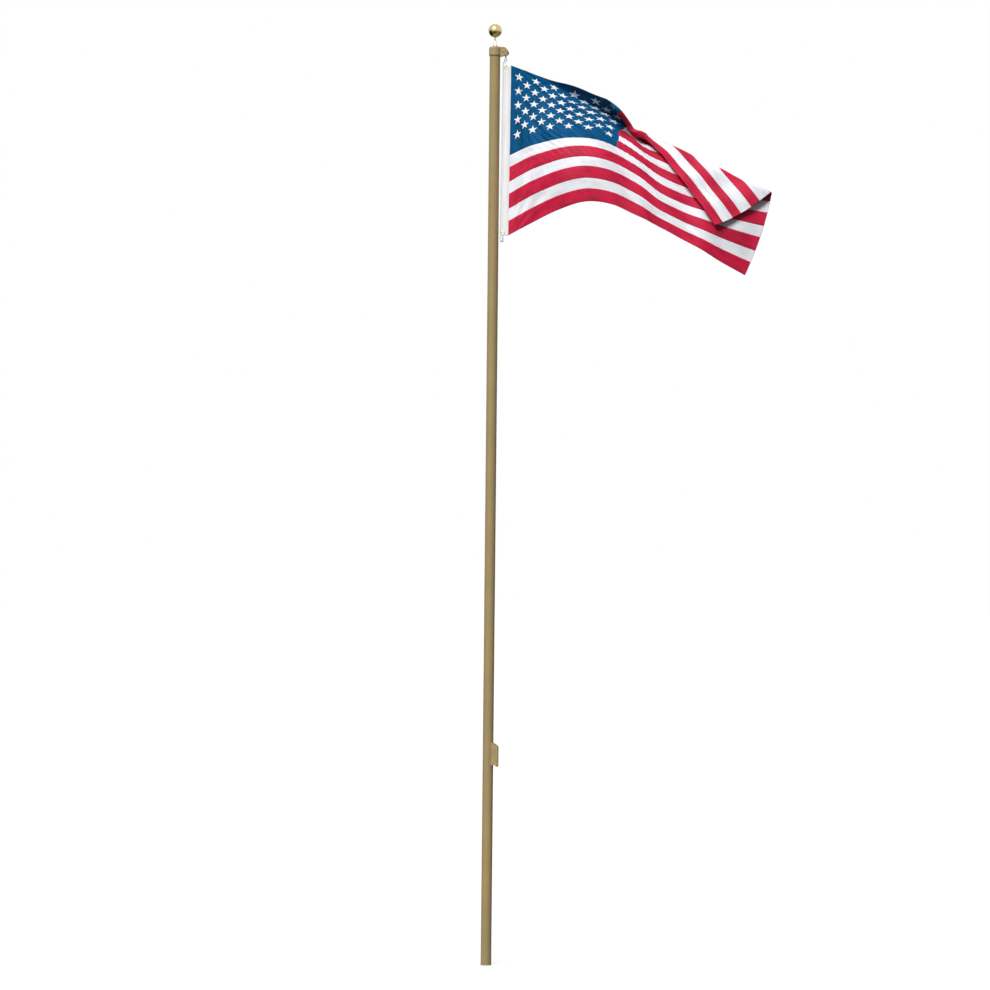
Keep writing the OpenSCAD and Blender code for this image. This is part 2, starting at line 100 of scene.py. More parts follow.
def ease(x: Array, start: float, length: float) -> Array:
    """Ease from 0 at a start to 1 a length further on: 3t^2 - 2t^3 of t held between 0 and 1."""
    t = np.clip((x - start) / length, 0.0, 1.0)
    return t * t * (3.0 - 2.0 * t)


def bell(x: Array, middle: float, wide: float) -> Array:
    """Bell curve: exp of minus the square of the distance from the middle over the width."""
    return np.exp(-(((x - middle) / wide) ** 2))


def unit(v: Array) -> Array:
    """Vectors along the last axis, each divided by its length."""
    return v / np.linalg.norm(v, axis=-1, keepdims=True)


def around(steps: int) -> Array:
    """Angles of a full turn in even steps, the last one a step short of the first."""
    return np.linspace(0, FULL_TURN, steps, endpoint=False)


def run_along(path: Array) -> Array:
    """Distance from a path's start to each of its points, summed over the steps between them."""
    return np.concatenate([[0.0], np.cumsum(np.linalg.norm(np.diff(path, axis=0), axis=1))])


def spline(points: Array, a: Array) -> Array:
    """Catmull-Rom curve through points at even steps, its ends carried straight on.

    Args:
        points: the curve's own points, one a row.
        a: places along the curve, 0 at its start and 1 at its end.

    Returns:
        The points on the curve.
    """
    n = len(points) - 1
    p = np.vstack([2 * points[0] - points[1], points, 2 * points[-1] - points[-2]])
    i = np.clip(np.floor(a * n).astype(int), 0, n - 1)
    t = (a * n - i)[..., None]
    p0, p1, p2, p3 = p[i], p[i + 1], p[i + 2], p[i + 3]
    return 0.5 * (2 * p1 + (p2 - p0) * t + (2 * p0 - 5 * p1 + 4 * p2 - p3) * t**2
                  + (3 * p1 - 3 * p2 + p3 - p0) * t**3)


def even_path(points: Sequence[Sequence[float]], step: float) -> Array:
    """Points at even distances along the smooth curve through a route.

    Args:
        points: the route's points.
        step: the distance between the new points.

    Returns:
        The new points, one a row.
    """
    fine = spline(np.array(points, float), np.linspace(0, 1, 60 * len(points)))
    run = run_along(fine)
    at = np.linspace(0, run[-1], max(3, int(round(run[-1] / step)) + 1))
    return np.stack([np.interp(at, run, fine[:, k]) for k in range(3)], -1)


def front(surface: Callable[[Array, Array], Array], s: Array, h: Array, step: float = 4.0) -> Array:
    """Front normals of a cloth: across its differences down and along, each over a short step.

    Args:
        surface: the cloth's points as a function of s and h.
        s: places along the fly.
        h: places down the hoist.
        step: half the distance between the points that are compared.

    Returns:
        The unit normals.
    """
    down = surface(s, h + step) - surface(s, h - step)
    along = surface(s + step, h) - surface(s - step, h)
    return unit(np.cross(down, along))


def move(x: float, y: float, z: float) -> Matrix:
    """A shift along X, Y and Z."""
    return Matrix.Translation(Vector((x, y, z)))


def turn_x(angle: float) -> Matrix:
    """A turn about the X axis."""
    return Matrix.Rotation(angle, 4, "X")


@dataclass
class Skin:
    """Points, faces and face-corner UVs of a mesh in the making."""

    points: Array
    faces: list[list[int]]
    corner_uv: Array

    @staticmethod
    def grid(points: Array, uv: Array, wrap: bool = False, flip: bool = False) -> "Skin":
        """Quads over a grid of points.

        Args:
            points: rows x columns x 3; with wrap, the last column joins the first again.
            uv: rows x columns x 2, with one more column where the grid wraps.
            wrap: whether the columns go round.
            flip: whether the faces point the other way.

        Returns:
            The skin of the grid.
        """
        rows, cols = points.shape[:2]
        i, j = np.meshgrid(np.arange(rows - 1), np.arange(cols if wrap else cols - 1), indexing="ij")
        across = (j + 1) % cols
        quads = np.stack([i * cols + j, i * cols + across, (i + 1) * cols + across, (i + 1) * cols + j], -1)
        quads = quads.reshape(-1, 4)
        corners = np.stack([uv[i, j], uv[i, j + 1], uv[i + 1, j + 1], uv[i + 1, j]], -2).reshape(-1, 4, 2)
        if flip:
            quads, corners = quads[:, ::-1], corners[:, ::-1]
        return Skin(points.reshape(-1, 3), quads.tolist(), corners.reshape(-1, 2))

    def add(self, faces: Array, uv: Array) -> None:
        """Add faces, one a row of point numbers, with the UV of each corner."""
        self.faces += faces.tolist()
        self.corner_uv = np.vstack([self.corner_uv, uv.reshape(-1, 2)])

    @staticmethod
    def join(skins: Sequence["Skin"]) -> "Skin":
        """One skin made of several.

        Args:
            skins: the skins, in order.

        Returns:
            The joined skin.
        """
        starts = np.cumsum([0] + [len(s.points) for s in skins[:-1]])
        faces = [[k + int(start) for k in f] for s, start in zip(skins, starts) for f in s.faces]
        return Skin(np.vstack([s.points for s in skins]), faces, np.vstack([s.corner_uv for s in skins]))

    def turned(self, matrix: Matrix) -> "Skin":
        """The skin moved by a matrix that keeps its handedness."""
        m = np.array(matrix)
        return Skin(self.points @ m[:3, :3].T + m[:3, 3], self.faces, self.corner_uv)

    def to_object(self, name: str, smooth: bool = True, weld: float = 0.0) -> bpy.types.Object:
        """Make an object of the skin, at the origin.

        Args:
            name: the object's name.
            smooth: whether its faces are shaded smooth.
            weld: points closer than this, in millimetres, are merged, and the normals turned outwards.

        Returns:
            The object, linked to the scene.
        """
        mesh = bpy.data.meshes.new(name)
        mesh.from_pydata((self.points * MM).tolist(), [], self.faces)
        layer = mesh.uv_layers.new(name="UVMap")
        layer.data.foreach_set("uv", self.corner_uv.astype(np.float32).ravel())
        mesh.polygons.foreach_set("use_smooth", [smooth] * len(mesh.polygons))
        if weld > 0:
            work = bmesh.new()
            work.from_mesh(mesh)
            bmesh.ops.remove_doubles(work, verts=work.verts, dist=weld * MM)
            bmesh.ops.recalc_face_normals(work, faces=work.faces)
            work.to_mesh(mesh)
            work.free()
        mesh.update()
        obj = bpy.data.objects.new(name, mesh)
        bpy.context.scene.collection.objects.link(obj)
        return obj


def round_uv(sides: int, run: Array) -> Array:
    """UV of a surface that goes round: U the share of a turn, V the run along it in metres."""
    return np.stack(np.broadcast_arrays(np.linspace(0, 1, sides + 1)[None, :], run[:, None] * MM), -1)


def lathe(profile: Array | Sequence[Sequence[float]], segments: int = 48, closed: bool = False) -> Skin:
    """Surface of revolution about Z: each profile point (r, z) carried round a full turn.

    Args:
        profile: the outline, from low to high on the outside; an end with r = 0 closes in a point.
        segments: the steps round the axis.
        closed: whether the outline's end joins its start, as on a ring.

    Returns:
        The skin, facing outwards.
    """
    rz = np.array(profile, float)
    if closed:
        rz = np.vstack([rz, rz[:1]])
    turn = around(segments)
    r, z = rz[:, :1], rz[:, 1:]
    points = np.stack([r * np.cos(turn), r * np.sin(turn), z + 0 * turn], -1)
    return Skin.grid(points, round_uv(segments, run_along(rz)), wrap=True)


def dome(radius: float, height: float, sunk: float, steps: int, segments: int) -> Skin:
    """Domed head about Z: a quarter ellipse (r cos a, h sin a) on a short sunk foot, carried round.

    Args:
        radius: the head's radius.
        height: its height over the face that it sits on.
        sunk: its depth under that face.
        steps: the points of the ellipse.
        segments: the steps round the axis.

    Returns:
        The head's skin.
    """
    a = np.linspace(0, RIGHT_ANGLE, steps)
    outline = np.stack([radius * np.cos(a), height * np.sin(a)], -1)
    outline[-1, 0] = 0.0
    return lathe(np.vstack([[[0.0, -sunk], [radius, -sunk]], outline]), segments)


def section(along: Array, hint: Array, sides: int) -> Array:
    """Unit circles square to a path: cos t across + sin t side, with across = hint x along.

    Args:
        along: the path's unit directions.
        hint: for the path or for each point, a direction that is never along it.
        sides: the steps round the circle.

    Returns:
        The circles, path points x sides x 3.
    """
    across = unit(np.cross(hint, along))
    side = np.cross(along, across)
    t = around(sides)[None, :, None]
    return np.cos(t) * across[:, None] + np.sin(t) * side[:, None]


def tube(path: Array, radius: Array, sides: int = 16, side_way: Triple = (0.0, 1.0, 0.0)) -> Skin:
    """Round section carried along a path, with both ends closed: centre + r times the unit circle.

    Args:
        path: the path's points.
        radius: the section's radius, one value for each path point, or path points x sides.
        sides: the steps round the section.
        side_way: a direction that is never along the path.

    Returns:
        The skin, facing outwards, with U round the section and V the run along it in metres.
    """
    along = unit(np.gradient(path, axis=0))
    r = radius if radius.ndim == 2 else radius[:, None]
    points = path[:, None] + r[..., None] * section(along, np.array(side_way), sides)
    run = run_along(path)
    skin = Skin.grid(points, round_uv(sides, run), wrap=True)
    ring = np.arange(sides)[None]
    skin.add(ring[:, ::-1], np.zeros((sides, 2)))
    skin.add(ring + (len(path) - 1) * sides, np.full((sides, 2), run[-1] * MM))
    return skin


def braid(path: Array, radius: float, sides: int = 32, pitch: float = 42.0) -> Skin:
    """Braided rope: a tube whose radius swells under two crossing sets of six strands.

    Args:
        path: the rope's centreline, at even steps.
        radius: the rope's outer radius.
        sides: the steps round the rope.
        pitch: the run of rope in which a strand goes round once.

    Returns:
        The rope's skin.
    """
    turn = around(sides)[None]
    twist = FULL_TURN * run_along(path)[:, None] / pitch
    right, left = (np.abs(np.cos(3 * (turn + way * twist))) for way in (1, -1))
    swell = 0.87 + 0.13 * np.maximum(right, left) ** 0.7
    return tube(path, radius * swell, sides)


# Materials


class Net:
    """Adds nodes to one shader tree and joins them."""

    def __init__(self, tree: bpy.types.NodeTree) -> None:
        """Keep the tree, and its surface shader where it has one."""
        self.tree = tree
        self.shader = tree.nodes.get("Principled BSDF")

    def node(self, kind: str, **settings: Any) -> bpy.types.Node:
        """Add a node.

        Args:
            kind: the node's type, without its ShaderNode start.
            settings: the node's own settings.

        Returns:
            The node.
        """
        made = self.tree.nodes.new("ShaderNode" + kind)
        for name, value in settings.items():
            setattr(made, name, value)
        return made

    def feed(self, node: bpy.types.Node, **inputs: Any) -> Any:
        """Set or link a node's inputs.

        Args:
            node: the node.
            inputs: socket name, with _ for a blank, or in0, in1 for a place, to a value or an output socket.

        Returns:
            The node's outputs.
        """
        for name, value in inputs.items():
            key = int(name[2:]) if name[:2] == "in" and name[2:].isdigit() else name.replace("_", " ")
            if isinstance(value, Socket):
                self.tree.links.new(value, node.inputs[key])
            else:
                node.inputs[key].default_value = value
        return node.outputs

    def shade(self, **inputs: Any) -> None:
        """Set or link the surface shader's inputs."""
        self.feed(self.shader, **inputs)

    def place(self, kind: str = "Object") -> Socket:
        """Texture coordinates of one kind."""
        return self.node("TexCoord").outputs[kind]

    def split(self, vector: Socket) -> Any:
        """The three parts of a vector."""
        return self.feed(self.node("SeparateXYZ"), Vector=vector)

    def group(self, tree: bpy.types.NodeTree, **inputs: Any) -> Any:
        """Place a shared group with its own values, and give its outputs."""
        return self.feed(self.node("Group", node_tree=tree), **inputs)

    def math(self, operation: str, a: Any, b: Any = 0.0, c: Any = 0.0) -> Socket:
        """One step of arithmetic on values."""
        return self.feed(self.node("Math", operation=operation), in0=a, in1=b, in2=c)[0]

    def apart(self, a: Any, b: Any) -> Socket:
        """Distance between two values."""
        return self.math("ABSOLUTE", self.math("SUBTRACT", a, b))

    def ramp(self, value: Any, low: float, high: float, start: float = 0.0, stop: float = 1.0) -> Socket:
        """Smooth step of a value from low..high to start..stop."""
        step = self.node("MapRange", interpolation_type="SMOOTHSTEP")
        return self.feed(step, Value=value, From_Min=low, From_Max=high, To_Min=start, To_Max=stop)[0]

    def mix(self, share: Any, a: Any, b: Any) -> Socket:
        """Blend two colours."""
        return self.feed(self.node("Mix", data_type="RGBA"), in0=share, in6=a, in7=b)[2]

    def noise(self, vector: Socket, stretch: Triple, detail: float = 3.0, rough: float = 0.55,
              turn: float = 0.0) -> Socket:
        """Noise over stretched coordinates.

        Args:
            vector: the coordinates.
            stretch: how often the noise repeats in a unit of each.
            detail: its octaves.
            rough: the strength of the finer octaves.
            turn: the pattern's turn about the third axis.

        Returns:
            The noise's value.
        """
        way = self.feed(self.node("Mapping"), Vector=vector, Scale=stretch, Rotation=(0.0, 0.0, turn))[0]
        return self.feed(self.node("TexNoise"), Vector=way, Scale=1.0, Detail=detail, Roughness=rough)[0]

    def bump(self, height: Socket, strength: float, distance: float) -> None:
        """Raise the surface by a height through a Bump node."""
        made = self.feed(self.node("Bump"), Strength=strength, Distance=distance, Height=height)
        self.shade(Normal=made[0])


def new_material(name: str) -> tuple[bpy.types.Material, Net]:
    """Start a material.

    Args:
        name: the material's name.

    Returns:
        The material and the net of its nodes.
    """
    made = bpy.data.materials.new(name)
    made.use_nodes = True
    return made, Net(made.node_tree)


class Groups:
    """Shader node groups that several finishes share, each built once."""

    @staticmethod
    def start(name: str, inputs: dict[str, Any], outputs: Sequence[str]) -> tuple[Net, Any, bpy.types.Node]:
        """Begin a group.

        Args:
            name: the group's name.
            inputs: socket name to its default; a tuple makes a vector socket.
            outputs: the names of its value outputs.

        Returns:
            The group's net, what it is given, and its output node.
        """
        tree = bpy.data.node_groups.new(name, "ShaderNodeTree")
        for key, value in inputs.items():
            kind = "NodeSocketVector" if isinstance(value, tuple) else "NodeSocketFloat"
            tree.interface.new_socket(key, in_out="INPUT", socket_type=kind).default_value = value
        for key in outputs:
            tree.interface.new_socket(key, in_out="OUTPUT", socket_type="NodeSocketFloat")
        return Net(tree), tree.nodes.new("NodeGroupInput").outputs, tree.nodes.new("NodeGroupOutput")

    @staticmethod
    @cache
    def weave() -> bpy.types.NodeTree:
        """Plain weave: the higher of two crossing rows of threads, |sin| along each way of the UV map.

        Returns:
            The group, with the threads' height and a slubby shade.
        """
        sizes = {"Vector": (0.0, 0.0, 0.0), "Pitch": 0.001}
        net, given, out = Groups.start("Weave", sizes, ["Height", "Shade"])
        part = net.split(given["Vector"])
        turns = [net.math("DIVIDE", part[k], given["Pitch"]) for k in (0, 1)]
        waves = [net.math("SINE", net.math("MULTIPLY", t, math.pi)) for t in turns]
        height = net.math("MAXIMUM", *(net.math("ABSOLUTE", w) for w in waves))
        slub = net.noise(given["Vector"], (9.0, 160.0, 1.0), 2.0)
        net.feed(out, Height=height, Shade=net.math("MULTIPLY_ADD", slub, 0.5, 0.5))
        return net.tree

    @staticmethod
    @cache
    def stitches() -> bpy.types.NodeTree:
        """Rows of stitches: dashes along one way where the distance from a row is small.

        Returns:
            The group, with the stitches' mask and the pucker of the cloth beside them.
        """
        sizes = {"Along": 0.0, "Distance": 0.0, "Length": 0.0032, "Width": 0.0007}
        net, given, out = Groups.start("Stitches", sizes, ["Mask", "Pucker"])
        place = net.math("FRACT", net.math("DIVIDE", given["Along"], given["Length"]))
        dash = net.ramp(net.apart(place, 0.5), 0.34, 0.46, 1.0, 0.0)
        away = net.math("DIVIDE", net.math("ABSOLUTE", given["Distance"]), given["Width"])
        line = net.ramp(away, 0.6, 1.2, 1.0, 0.0)
        net.feed(out, Mask=net.math("MULTIPLY", dash, line), Pucker=net.ramp(away, 0.5, 6.0, 1.0, 0.0))
        return net.tree

    @staticmethod
    @cache
    def mottle() -> bpy.types.NodeTree:
        """Cloudy variation and a fine grain, both from noise.

        Returns:
            The group, with the clouds and the grains.
        """
        sizes = {"Vector": (0.0, 0.0, 0.0), "Cloud": 6.0, "Grain": 400.0}
        net, given, out = Groups.start("Mottle", sizes, ["Clouds", "Grains"])
        for size, detail in (("Cloud", 4.0), ("Grain", 2.0)):
            spots = net.feed(net.node("TexNoise"), Vector=given["Vector"], Scale=given[size], Detail=detail)
            net.feed(out, **{size + "s": spots[0]})
        return net.tree


@dataclass(frozen=True)
class Finish:
    """A surface finish: one material, made when it is first used."""

    name: str
    colour: Triple
    roughness: float
    slot: str

    def material(self) -> bpy.types.Material:
        """The finish's material, built once.

        Returns:
            The material of the finish's name.
        """
        found = bpy.data.materials.get(self.name)
        if found is not None:
            return found
        made, net = new_material(self.name)
        net.shade(Base_Color=self.tint(1.0), Roughness=self.roughness)
        self.dress(net)
        return made

    def dress(self, net: Net) -> None:
        """Add the finish's own nodes; the plain finish has none."""

    def tint(self, factor: float) -> tuple[float, float, float, float]:
        """The colour, darker or lighter by a factor."""
        return (*(min(1.0, c * factor) for c in self.colour), 1.0)

    def vary(self, net: Net, value: Socket, dark: float, light: float, low: float = 0.3) -> Socket:
        """The colour from a darker to a lighter tint, as a value rises from low to 0.7."""
        return net.mix(net.ramp(value, low, 0.7), self.tint(dark), self.tint(light))

    def lay(self, net: Net, under: Socket, share: Socket, factor: float) -> Socket:
        """A tint of the colour laid over what is under it, by a share."""
        return net.mix(share, under, self.tint(factor))

    def uneven(self, net: Net, value: Socket, spread: float) -> Socket:
        """The roughness, spread evenly about its own value as another value goes from 0 to 1."""
        return net.math("MULTIPLY_ADD", value, spread, self.roughness - spread / 2)


@dataclass(frozen=True)
class GelCoat(Finish):
    """Satin gel coat over fibreglass: faint clouds, fine grain, drawn fibres and dust near the ground."""

    dust: Triple = (0.23, 0.17, 0.10)
    dust_top: float = 0.45

    def dress(self, net: Net) -> None:
        """Add clouds, grain, fibres and dust.

        Args:
            net: the material's net.
        """
        at = net.place()
        spots = net.group(Groups.mottle(), Vector=at, Cloud=5.0, Grain=520.0)
        fibre = net.noise(at, (260.0, 260.0, 5.0))
        colour = self.vary(net, spots["Clouds"], 0.93, 1.05)
        colour = self.lay(net, colour, net.ramp(spots["Grains"], 0.35, 0.75, 0.0, 0.35), 0.72)
        colour = self.lay(net, colour, net.ramp(fibre, 0.45, 0.75, 0.0, 0.25), 1.18)
        low = net.ramp(net.split(at)[2], 0.02, self.dust_top, 0.3, 0.0)
        colour = net.mix(net.math("MULTIPLY", low, spots["Clouds"]), colour, (*self.dust, 1.0))
        rough = self.uneven(net, spots["Clouds"], 0.18)
        net.shade(Base_Color=colour, Roughness=rough, Specular_IOR_Level=0.3)
        net.bump(net.math("MULTIPLY_ADD", fibre, 0.6, spots["Grains"]), 0.14, 0.0006)


@dataclass(frozen=True)
class PowderCoat(Finish):
    """Powder coat on castings: fine orange peel with faint clouds."""

    def dress(self, net: Net) -> None:
        """Add orange peel and clouds.

        Args:
            net: the material's net.
        """
        spots = net.group(Groups.mottle(), Vector=net.place(), Cloud=34.0, Grain=900.0)
        colour = self.vary(net, spots["Clouds"], 0.92, 1.06)
        colour = self.lay(net, colour, net.ramp(spots["Grains"], 0.4, 0.8, 0.0, 0.3), 0.75)
        rough = self.uneven(net, spots["Clouds"], 0.2)
        net.shade(Base_Color=colour, Roughness=rough, Specular_IOR_Level=0.3)
        net.bump(spots["Grains"], 0.22, 0.0008)


@dataclass(frozen=True)
class BareMetal(Finish):
    """Metal with turned or drawn marks along one way, and soft smudges."""

    marks: Triple = (40.0, 40.0, 1400.0)
    depth: float = 0.12

    def dress(self, net: Net) -> None:
        """Add tool marks and smudges.

        Args:
            net: the material's net.
        """
        at = net.place()
        lines = net.noise(at, self.marks, 2.0)
        spots = net.group(Groups.mottle(), Vector=at, Cloud=45.0, Grain=600.0)
        colour = self.vary(net, spots["Clouds"], 0.9, 1.04, 0.35)
        rough = net.math("MULTIPLY_ADD", spots["Clouds"], 0.08, self.uneven(net, lines, 0.16))
        net.shade(Base_Color=colour, Roughness=rough, Metallic=1.0)
        net.bump(lines, self.depth, 0.0003)


@dataclass(frozen=True)
class Moulding(Finish):
    """Moulded nylon: dull, with a fine pitted grain."""

    def dress(self, net: Net) -> None:
        """Add the grain.

        Args:
            net: the material's net.
        """
        spots = net.group(Groups.mottle(), Vector=net.place(), Cloud=60.0, Grain=1200.0)
        net.shade(Base_Color=self.vary(net, spots["Clouds"], 0.8, 1.25))
        net.bump(spots["Grains"], 0.25, 0.0005)


@dataclass(frozen=True)
class Rope(Finish):
    """Braided rope: pale strands with shaded gaps and fine filaments along each strand."""

    def dress(self, net: Net) -> None:
        """Add the strands' shading and filaments.

        Args:
            net: the material's net.
        """
        filament = net.noise(net.place("UV"), (60.0, 900.0, 1.0), 2.0, turn=0.5)
        spots = net.group(Groups.mottle(), Vector=net.place(), Cloud=24.0, Grain=700.0)
        colour = self.vary(net, filament, 0.82, 1.04, 0.35)
        colour = self.lay(net, colour, net.ramp(spots["Clouds"], 0.4, 0.75, 0.0, 0.4), 0.8)
        net.shade(Base_Color=colour, Sheen_Weight=0.2, Sheen_Roughness=0.5)
        net.bump(filament, 0.3, 0.0006)


@dataclass(frozen=True)
class Nylon(Finish):
    """Flag nylon: fine weave, creases with painted shade and painted highlight, sewn seams between the
    stripes and along the fly's hem.

    The UV map holds the flat cloth in metres: U along the fly, V down the hoist.
    """

    pitch: float = 0.0011
    stripe: float = 0.0703
    seam_row: float = 0.0028
    fly: float = 1.486
    hem: float = 0.030
    hem_pitch: float = 0.0075
    hem_row: float = 0.0037
    fan: float = 0.5
    gloss: float = 0.2
    # Strength of the painted shade along the creases.
    crease_shade: float = 0.3

    def dress(self, net: Net) -> None:
        """Add weave, seams, hem and creases, with painted shade and painted highlight along the creases; some
        creases fan out from the upper hoist corner.

        Args:
            net: the material's net.
        """
        at = net.place("UV")
        run, down = net.split(at)[:2]
        cloth = net.group(Groups.weave(), Vector=at, Pitch=self.pitch)
        seam = net.apart(net.math("PINGPONG", down, self.stripe / 2), self.seam_row)
        sewn = net.group(Groups.stitches(), Along=run, Distance=seam)
        from_end = net.math("SUBTRACT", self.fly, run)
        hem = net.apart(net.math("PINGPONG", from_end, self.hem_pitch), self.hem_row)
        ends = net.group(Groups.stitches(), Along=down, Distance=hem)
        in_hem = net.ramp(run, self.fly - self.hem - 0.001, self.fly - self.hem)
        mask = net.math("MAXIMUM", sewn["Mask"], net.math("MULTIPLY", ends["Mask"], in_hem))
        angle = net.math("ARCTAN2", net.math("ADD", down, 0.05), run)
        reach = net.feed(net.node("VectorMath", operation="LENGTH"), in0=at)["Value"]
        polar = net.feed(net.node("CombineXYZ"), X=angle, Y=reach)[0]
        fan = net.noise(polar, (17.0, 3.6, 1.0), 4.0, 0.65)
        loose = net.noise(at, (7.0, 26.0, 1.0), turn=-0.5)
        crease = net.math("MULTIPLY_ADD", fan, self.fan, net.math("MULTIPLY", loose, 1.0 - self.fan))
        colour = self.vary(net, net.noise(at, (5.0, 8.0, 1.0)), 0.93, 1.06)
        colour = self.lay(net, colour, net.ramp(cloth["Shade"], 0.6, 0.95, 0.0, 0.35), 1.12)
        # Painted shade where the crease pattern is high, painted highlight where it is low.
        colour = self.lay(net, colour, net.ramp(crease, 0.47, 0.62, 0.0, self.crease_shade), 0.6)
        colour = self.lay(net, colour, net.ramp(crease, 0.36, 0.48, 0.3, 0.0), 1.3)
        colour = self.lay(net, colour, net.math("MULTIPLY", mask, 0.45), 1.5)
        rough = self.uneven(net, cloth["Shade"], 0.12)
        height = net.math("MULTIPLY_ADD", cloth["Height"], 0.10, net.math("MULTIPLY", crease, 3.0))
        height = net.math("MULTIPLY_ADD", mask, 0.35, height)
        height = net.math("MULTIPLY_ADD", sewn["Pucker"], -0.35, height)
        net.shade(Base_Color=colour, Roughness=rough, Specular_IOR_Level=self.gloss)
        net.bump(height, 0.55, 0.0022)


@dataclass(frozen=True)
class Canvas(Finish):
    """Heavy header canvas: coarse weave, folded edges and two rows of lock stitch.

    The UV map holds the strip in metres: U across it, V down it.
    """

    width: float = 0.038
    pitch: float = 0.0016
    rows: tuple[float, float] = (0.0045, 0.0085)
    stitch: tuple[float, float] = (0.0045, 0.0009)
    thread: Triple = (0.88, 0.88, 0.86)

    def dress(self, net: Net) -> None:
        """Add weave and stitches, with painted shade in the weave's hollows and along the seams.

        Args:
            net: the material's net.
        """
        at = net.place("UV")
        across, down = net.split(at)[:2]
        cloth = net.group(Groups.weave(), Vector=at, Pitch=self.pitch)
        edge = net.math("SUBTRACT", self.width / 2, net.apart(across, self.width / 2))
        row = net.math("MINIMUM", *(net.apart(edge, r) for r in self.rows))
        length, width = self.stitch
        sewn = net.group(Groups.stitches(), Along=down, Distance=row, Length=length, Width=width)
        colour = self.vary(net, net.noise(at, (20.0, 6.0, 1.0)), 0.96, 1.04)
        # Painted shade in the weave's hollows, and beside the stitches where the cloth puckers.
        colour = self.lay(net, colour, net.ramp(cloth["Height"], 0.5, 1.0, 0.08, 0.0), 0.8)
        colour = self.lay(net, colour, net.math("MULTIPLY", sewn["Pucker"], 0.10), 0.62)
        colour = net.mix(net.math("MULTIPLY", sewn["Mask"], 0.8), colour, (*self.thread, 1.0))
        height = net.math("MULTIPLY_ADD", cloth["Height"], 0.3, net.math("MULTIPLY", sewn["Mask"], 0.6))
        height = net.math("MULTIPLY_ADD", sewn["Pucker"], -0.7, height)
        net.shade(Base_Color=colour, Sheen_Weight=0.1)
        net.bump(height, 0.7, 0.0012)


@dataclass(frozen=True)
class StarThread(Finish):
    """Satin-stitched stars: close white threads laid side by side."""

    def dress(self, net: Net) -> None:
        """Add the laid threads.

        Args:
            net: the material's net.
        """
        thread = net.noise(net.place("UV"), (1500.0, 90.0, 1.0), 1.0)
        net.shade(Base_Color=self.vary(net, thread, 0.9, 1.04), Sheen_Weight=0.15, Sheen_Roughness=0.35)
        net.bump(thread, 0.35, 0.0006)


GEL_COAT = GelCoat("tan gel coat", (0.37, 0.277, 0.125), 0.42, "pole_coating")
TAN_POWDER = PowderCoat("tan powder coat", (0.40, 0.30, 0.142), 0.5, "tan_casting")
TURNED_ALUMINIUM = BareMetal("turned aluminium", (0.80, 0.81, 0.83), 0.26, "cast_aluminium")
BLACK_OXIDE = BareMetal("black oxide steel", (0.06, 0.06, 0.06), 0.42, "steel_pin", (900.0, 40.0, 900.0))
BLACK_NYLON = Moulding("black nylon", (0.021, 0.021, 0.024), 0.5, "black_nylon")
GROUND_STEEL = BareMetal("ground steel", (0.60, 0.60, 0.62), 0.28, "steel_pin", (900.0, 40.0, 900.0))
NICKEL = BareMetal("nickel plate", (0.80, 0.81, 0.84), 0.36, "snap_steel", (60.0, 60.0, 400.0), 0.05)
GOLD = BareMetal("polished gold", (0.70, 0.54, 0.27), 0.17, "gold_finish", (20.0, 20.0, 90.0), 0.02)
BRASS = BareMetal("polished brass", (0.76, 0.54, 0.20), 0.2, "brass_grommet", (90.0, 90.0, 90.0), 0.04)
HALYARD = Rope("braided halyard", (0.88, 0.91, 0.96), 0.75, "halyard_rope")
HEADER_CANVAS = Canvas("header canvas", (0.97, 0.97, 0.96), 0.85, "header_canvas")
# The blue and red cloths take stronger painted shade along their creases.
BLUE_NYLON = Nylon("blue nylon", (0.002, 0.091, 0.232), 0.5, "blue_cloth", fan=0.8, gloss=0.06, crease_shade=0.95)
RED_NYLON = Nylon("red nylon", (0.58, 0.012, 0.054), 0.5, "red_cloth", crease_shade=0.6)
WHITE_NYLON = Nylon("white nylon", (0.86, 0.87, 0.92), 0.55, "white_cloth")
STAR_THREAD = StarThread("star thread", (0.92, 0.91, 0.93), 0.6, "white_cloth")


def put(obj: bpy.types.Object, finish: Finish, body: Body, *nodes: str) -> bpy.types.Object:
    """Dress a new piece and let it ride.

    Args:
        obj: the piece.
        finish: its finish.
        body: the body that carries it.
        nodes: the CAD nodes that it stands for.

    Returns:
        The same piece.
    """
    obj.data.materials.append(finish.material())
    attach(obj, body.value)
    if nodes:
        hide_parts(*nodes)
    LOG.info("%s: %d faces, on %s, %s", obj.name, len(obj.data.polygons), body.value, finish.name)
    return obj


def dress_nodes(finish: Finish, *names: str) -> None:
    """Give CAD nodes their finish.

    Args:
        finish: the finish.
        names: the nodes.
    """
    for name in names:
        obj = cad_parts[name]
        obj.data.materials.clear()
        obj.data.materials.append(finish.material())
        LOG.info("%s: CAD solid, %s", name, finish.name)


# Sub-assemblies


@dataclass(frozen=True)
class Fan:
    """Creases that fan out from a corner of the hoist, highest at a distance from it."""

    height: float
    middle: float
    wide: float
    count: float
    drift: float = 0.0
    phase: float = 0.0
    lower: bool = False

    def at(self, s: Array, h: Array, hoist: float) -> Array:
        """Height of the creases: a bell over the distance r, times the sine of count turns of the angle.

        Args:
            s: places along the fly.
            h: places down the hoist.
            hoist: the flag's hoist.

        Returns:
            The heights.
        """
        away = (hoist - h if self.lower else h) + 30.0
        r, angle = np.hypot(s, away), np.arctan2(away, s + 8.0)
        return self.height * bell(r, self.middle, self.wide) * np.sin(
            self.count * angle + self.drift * r + self.phase)


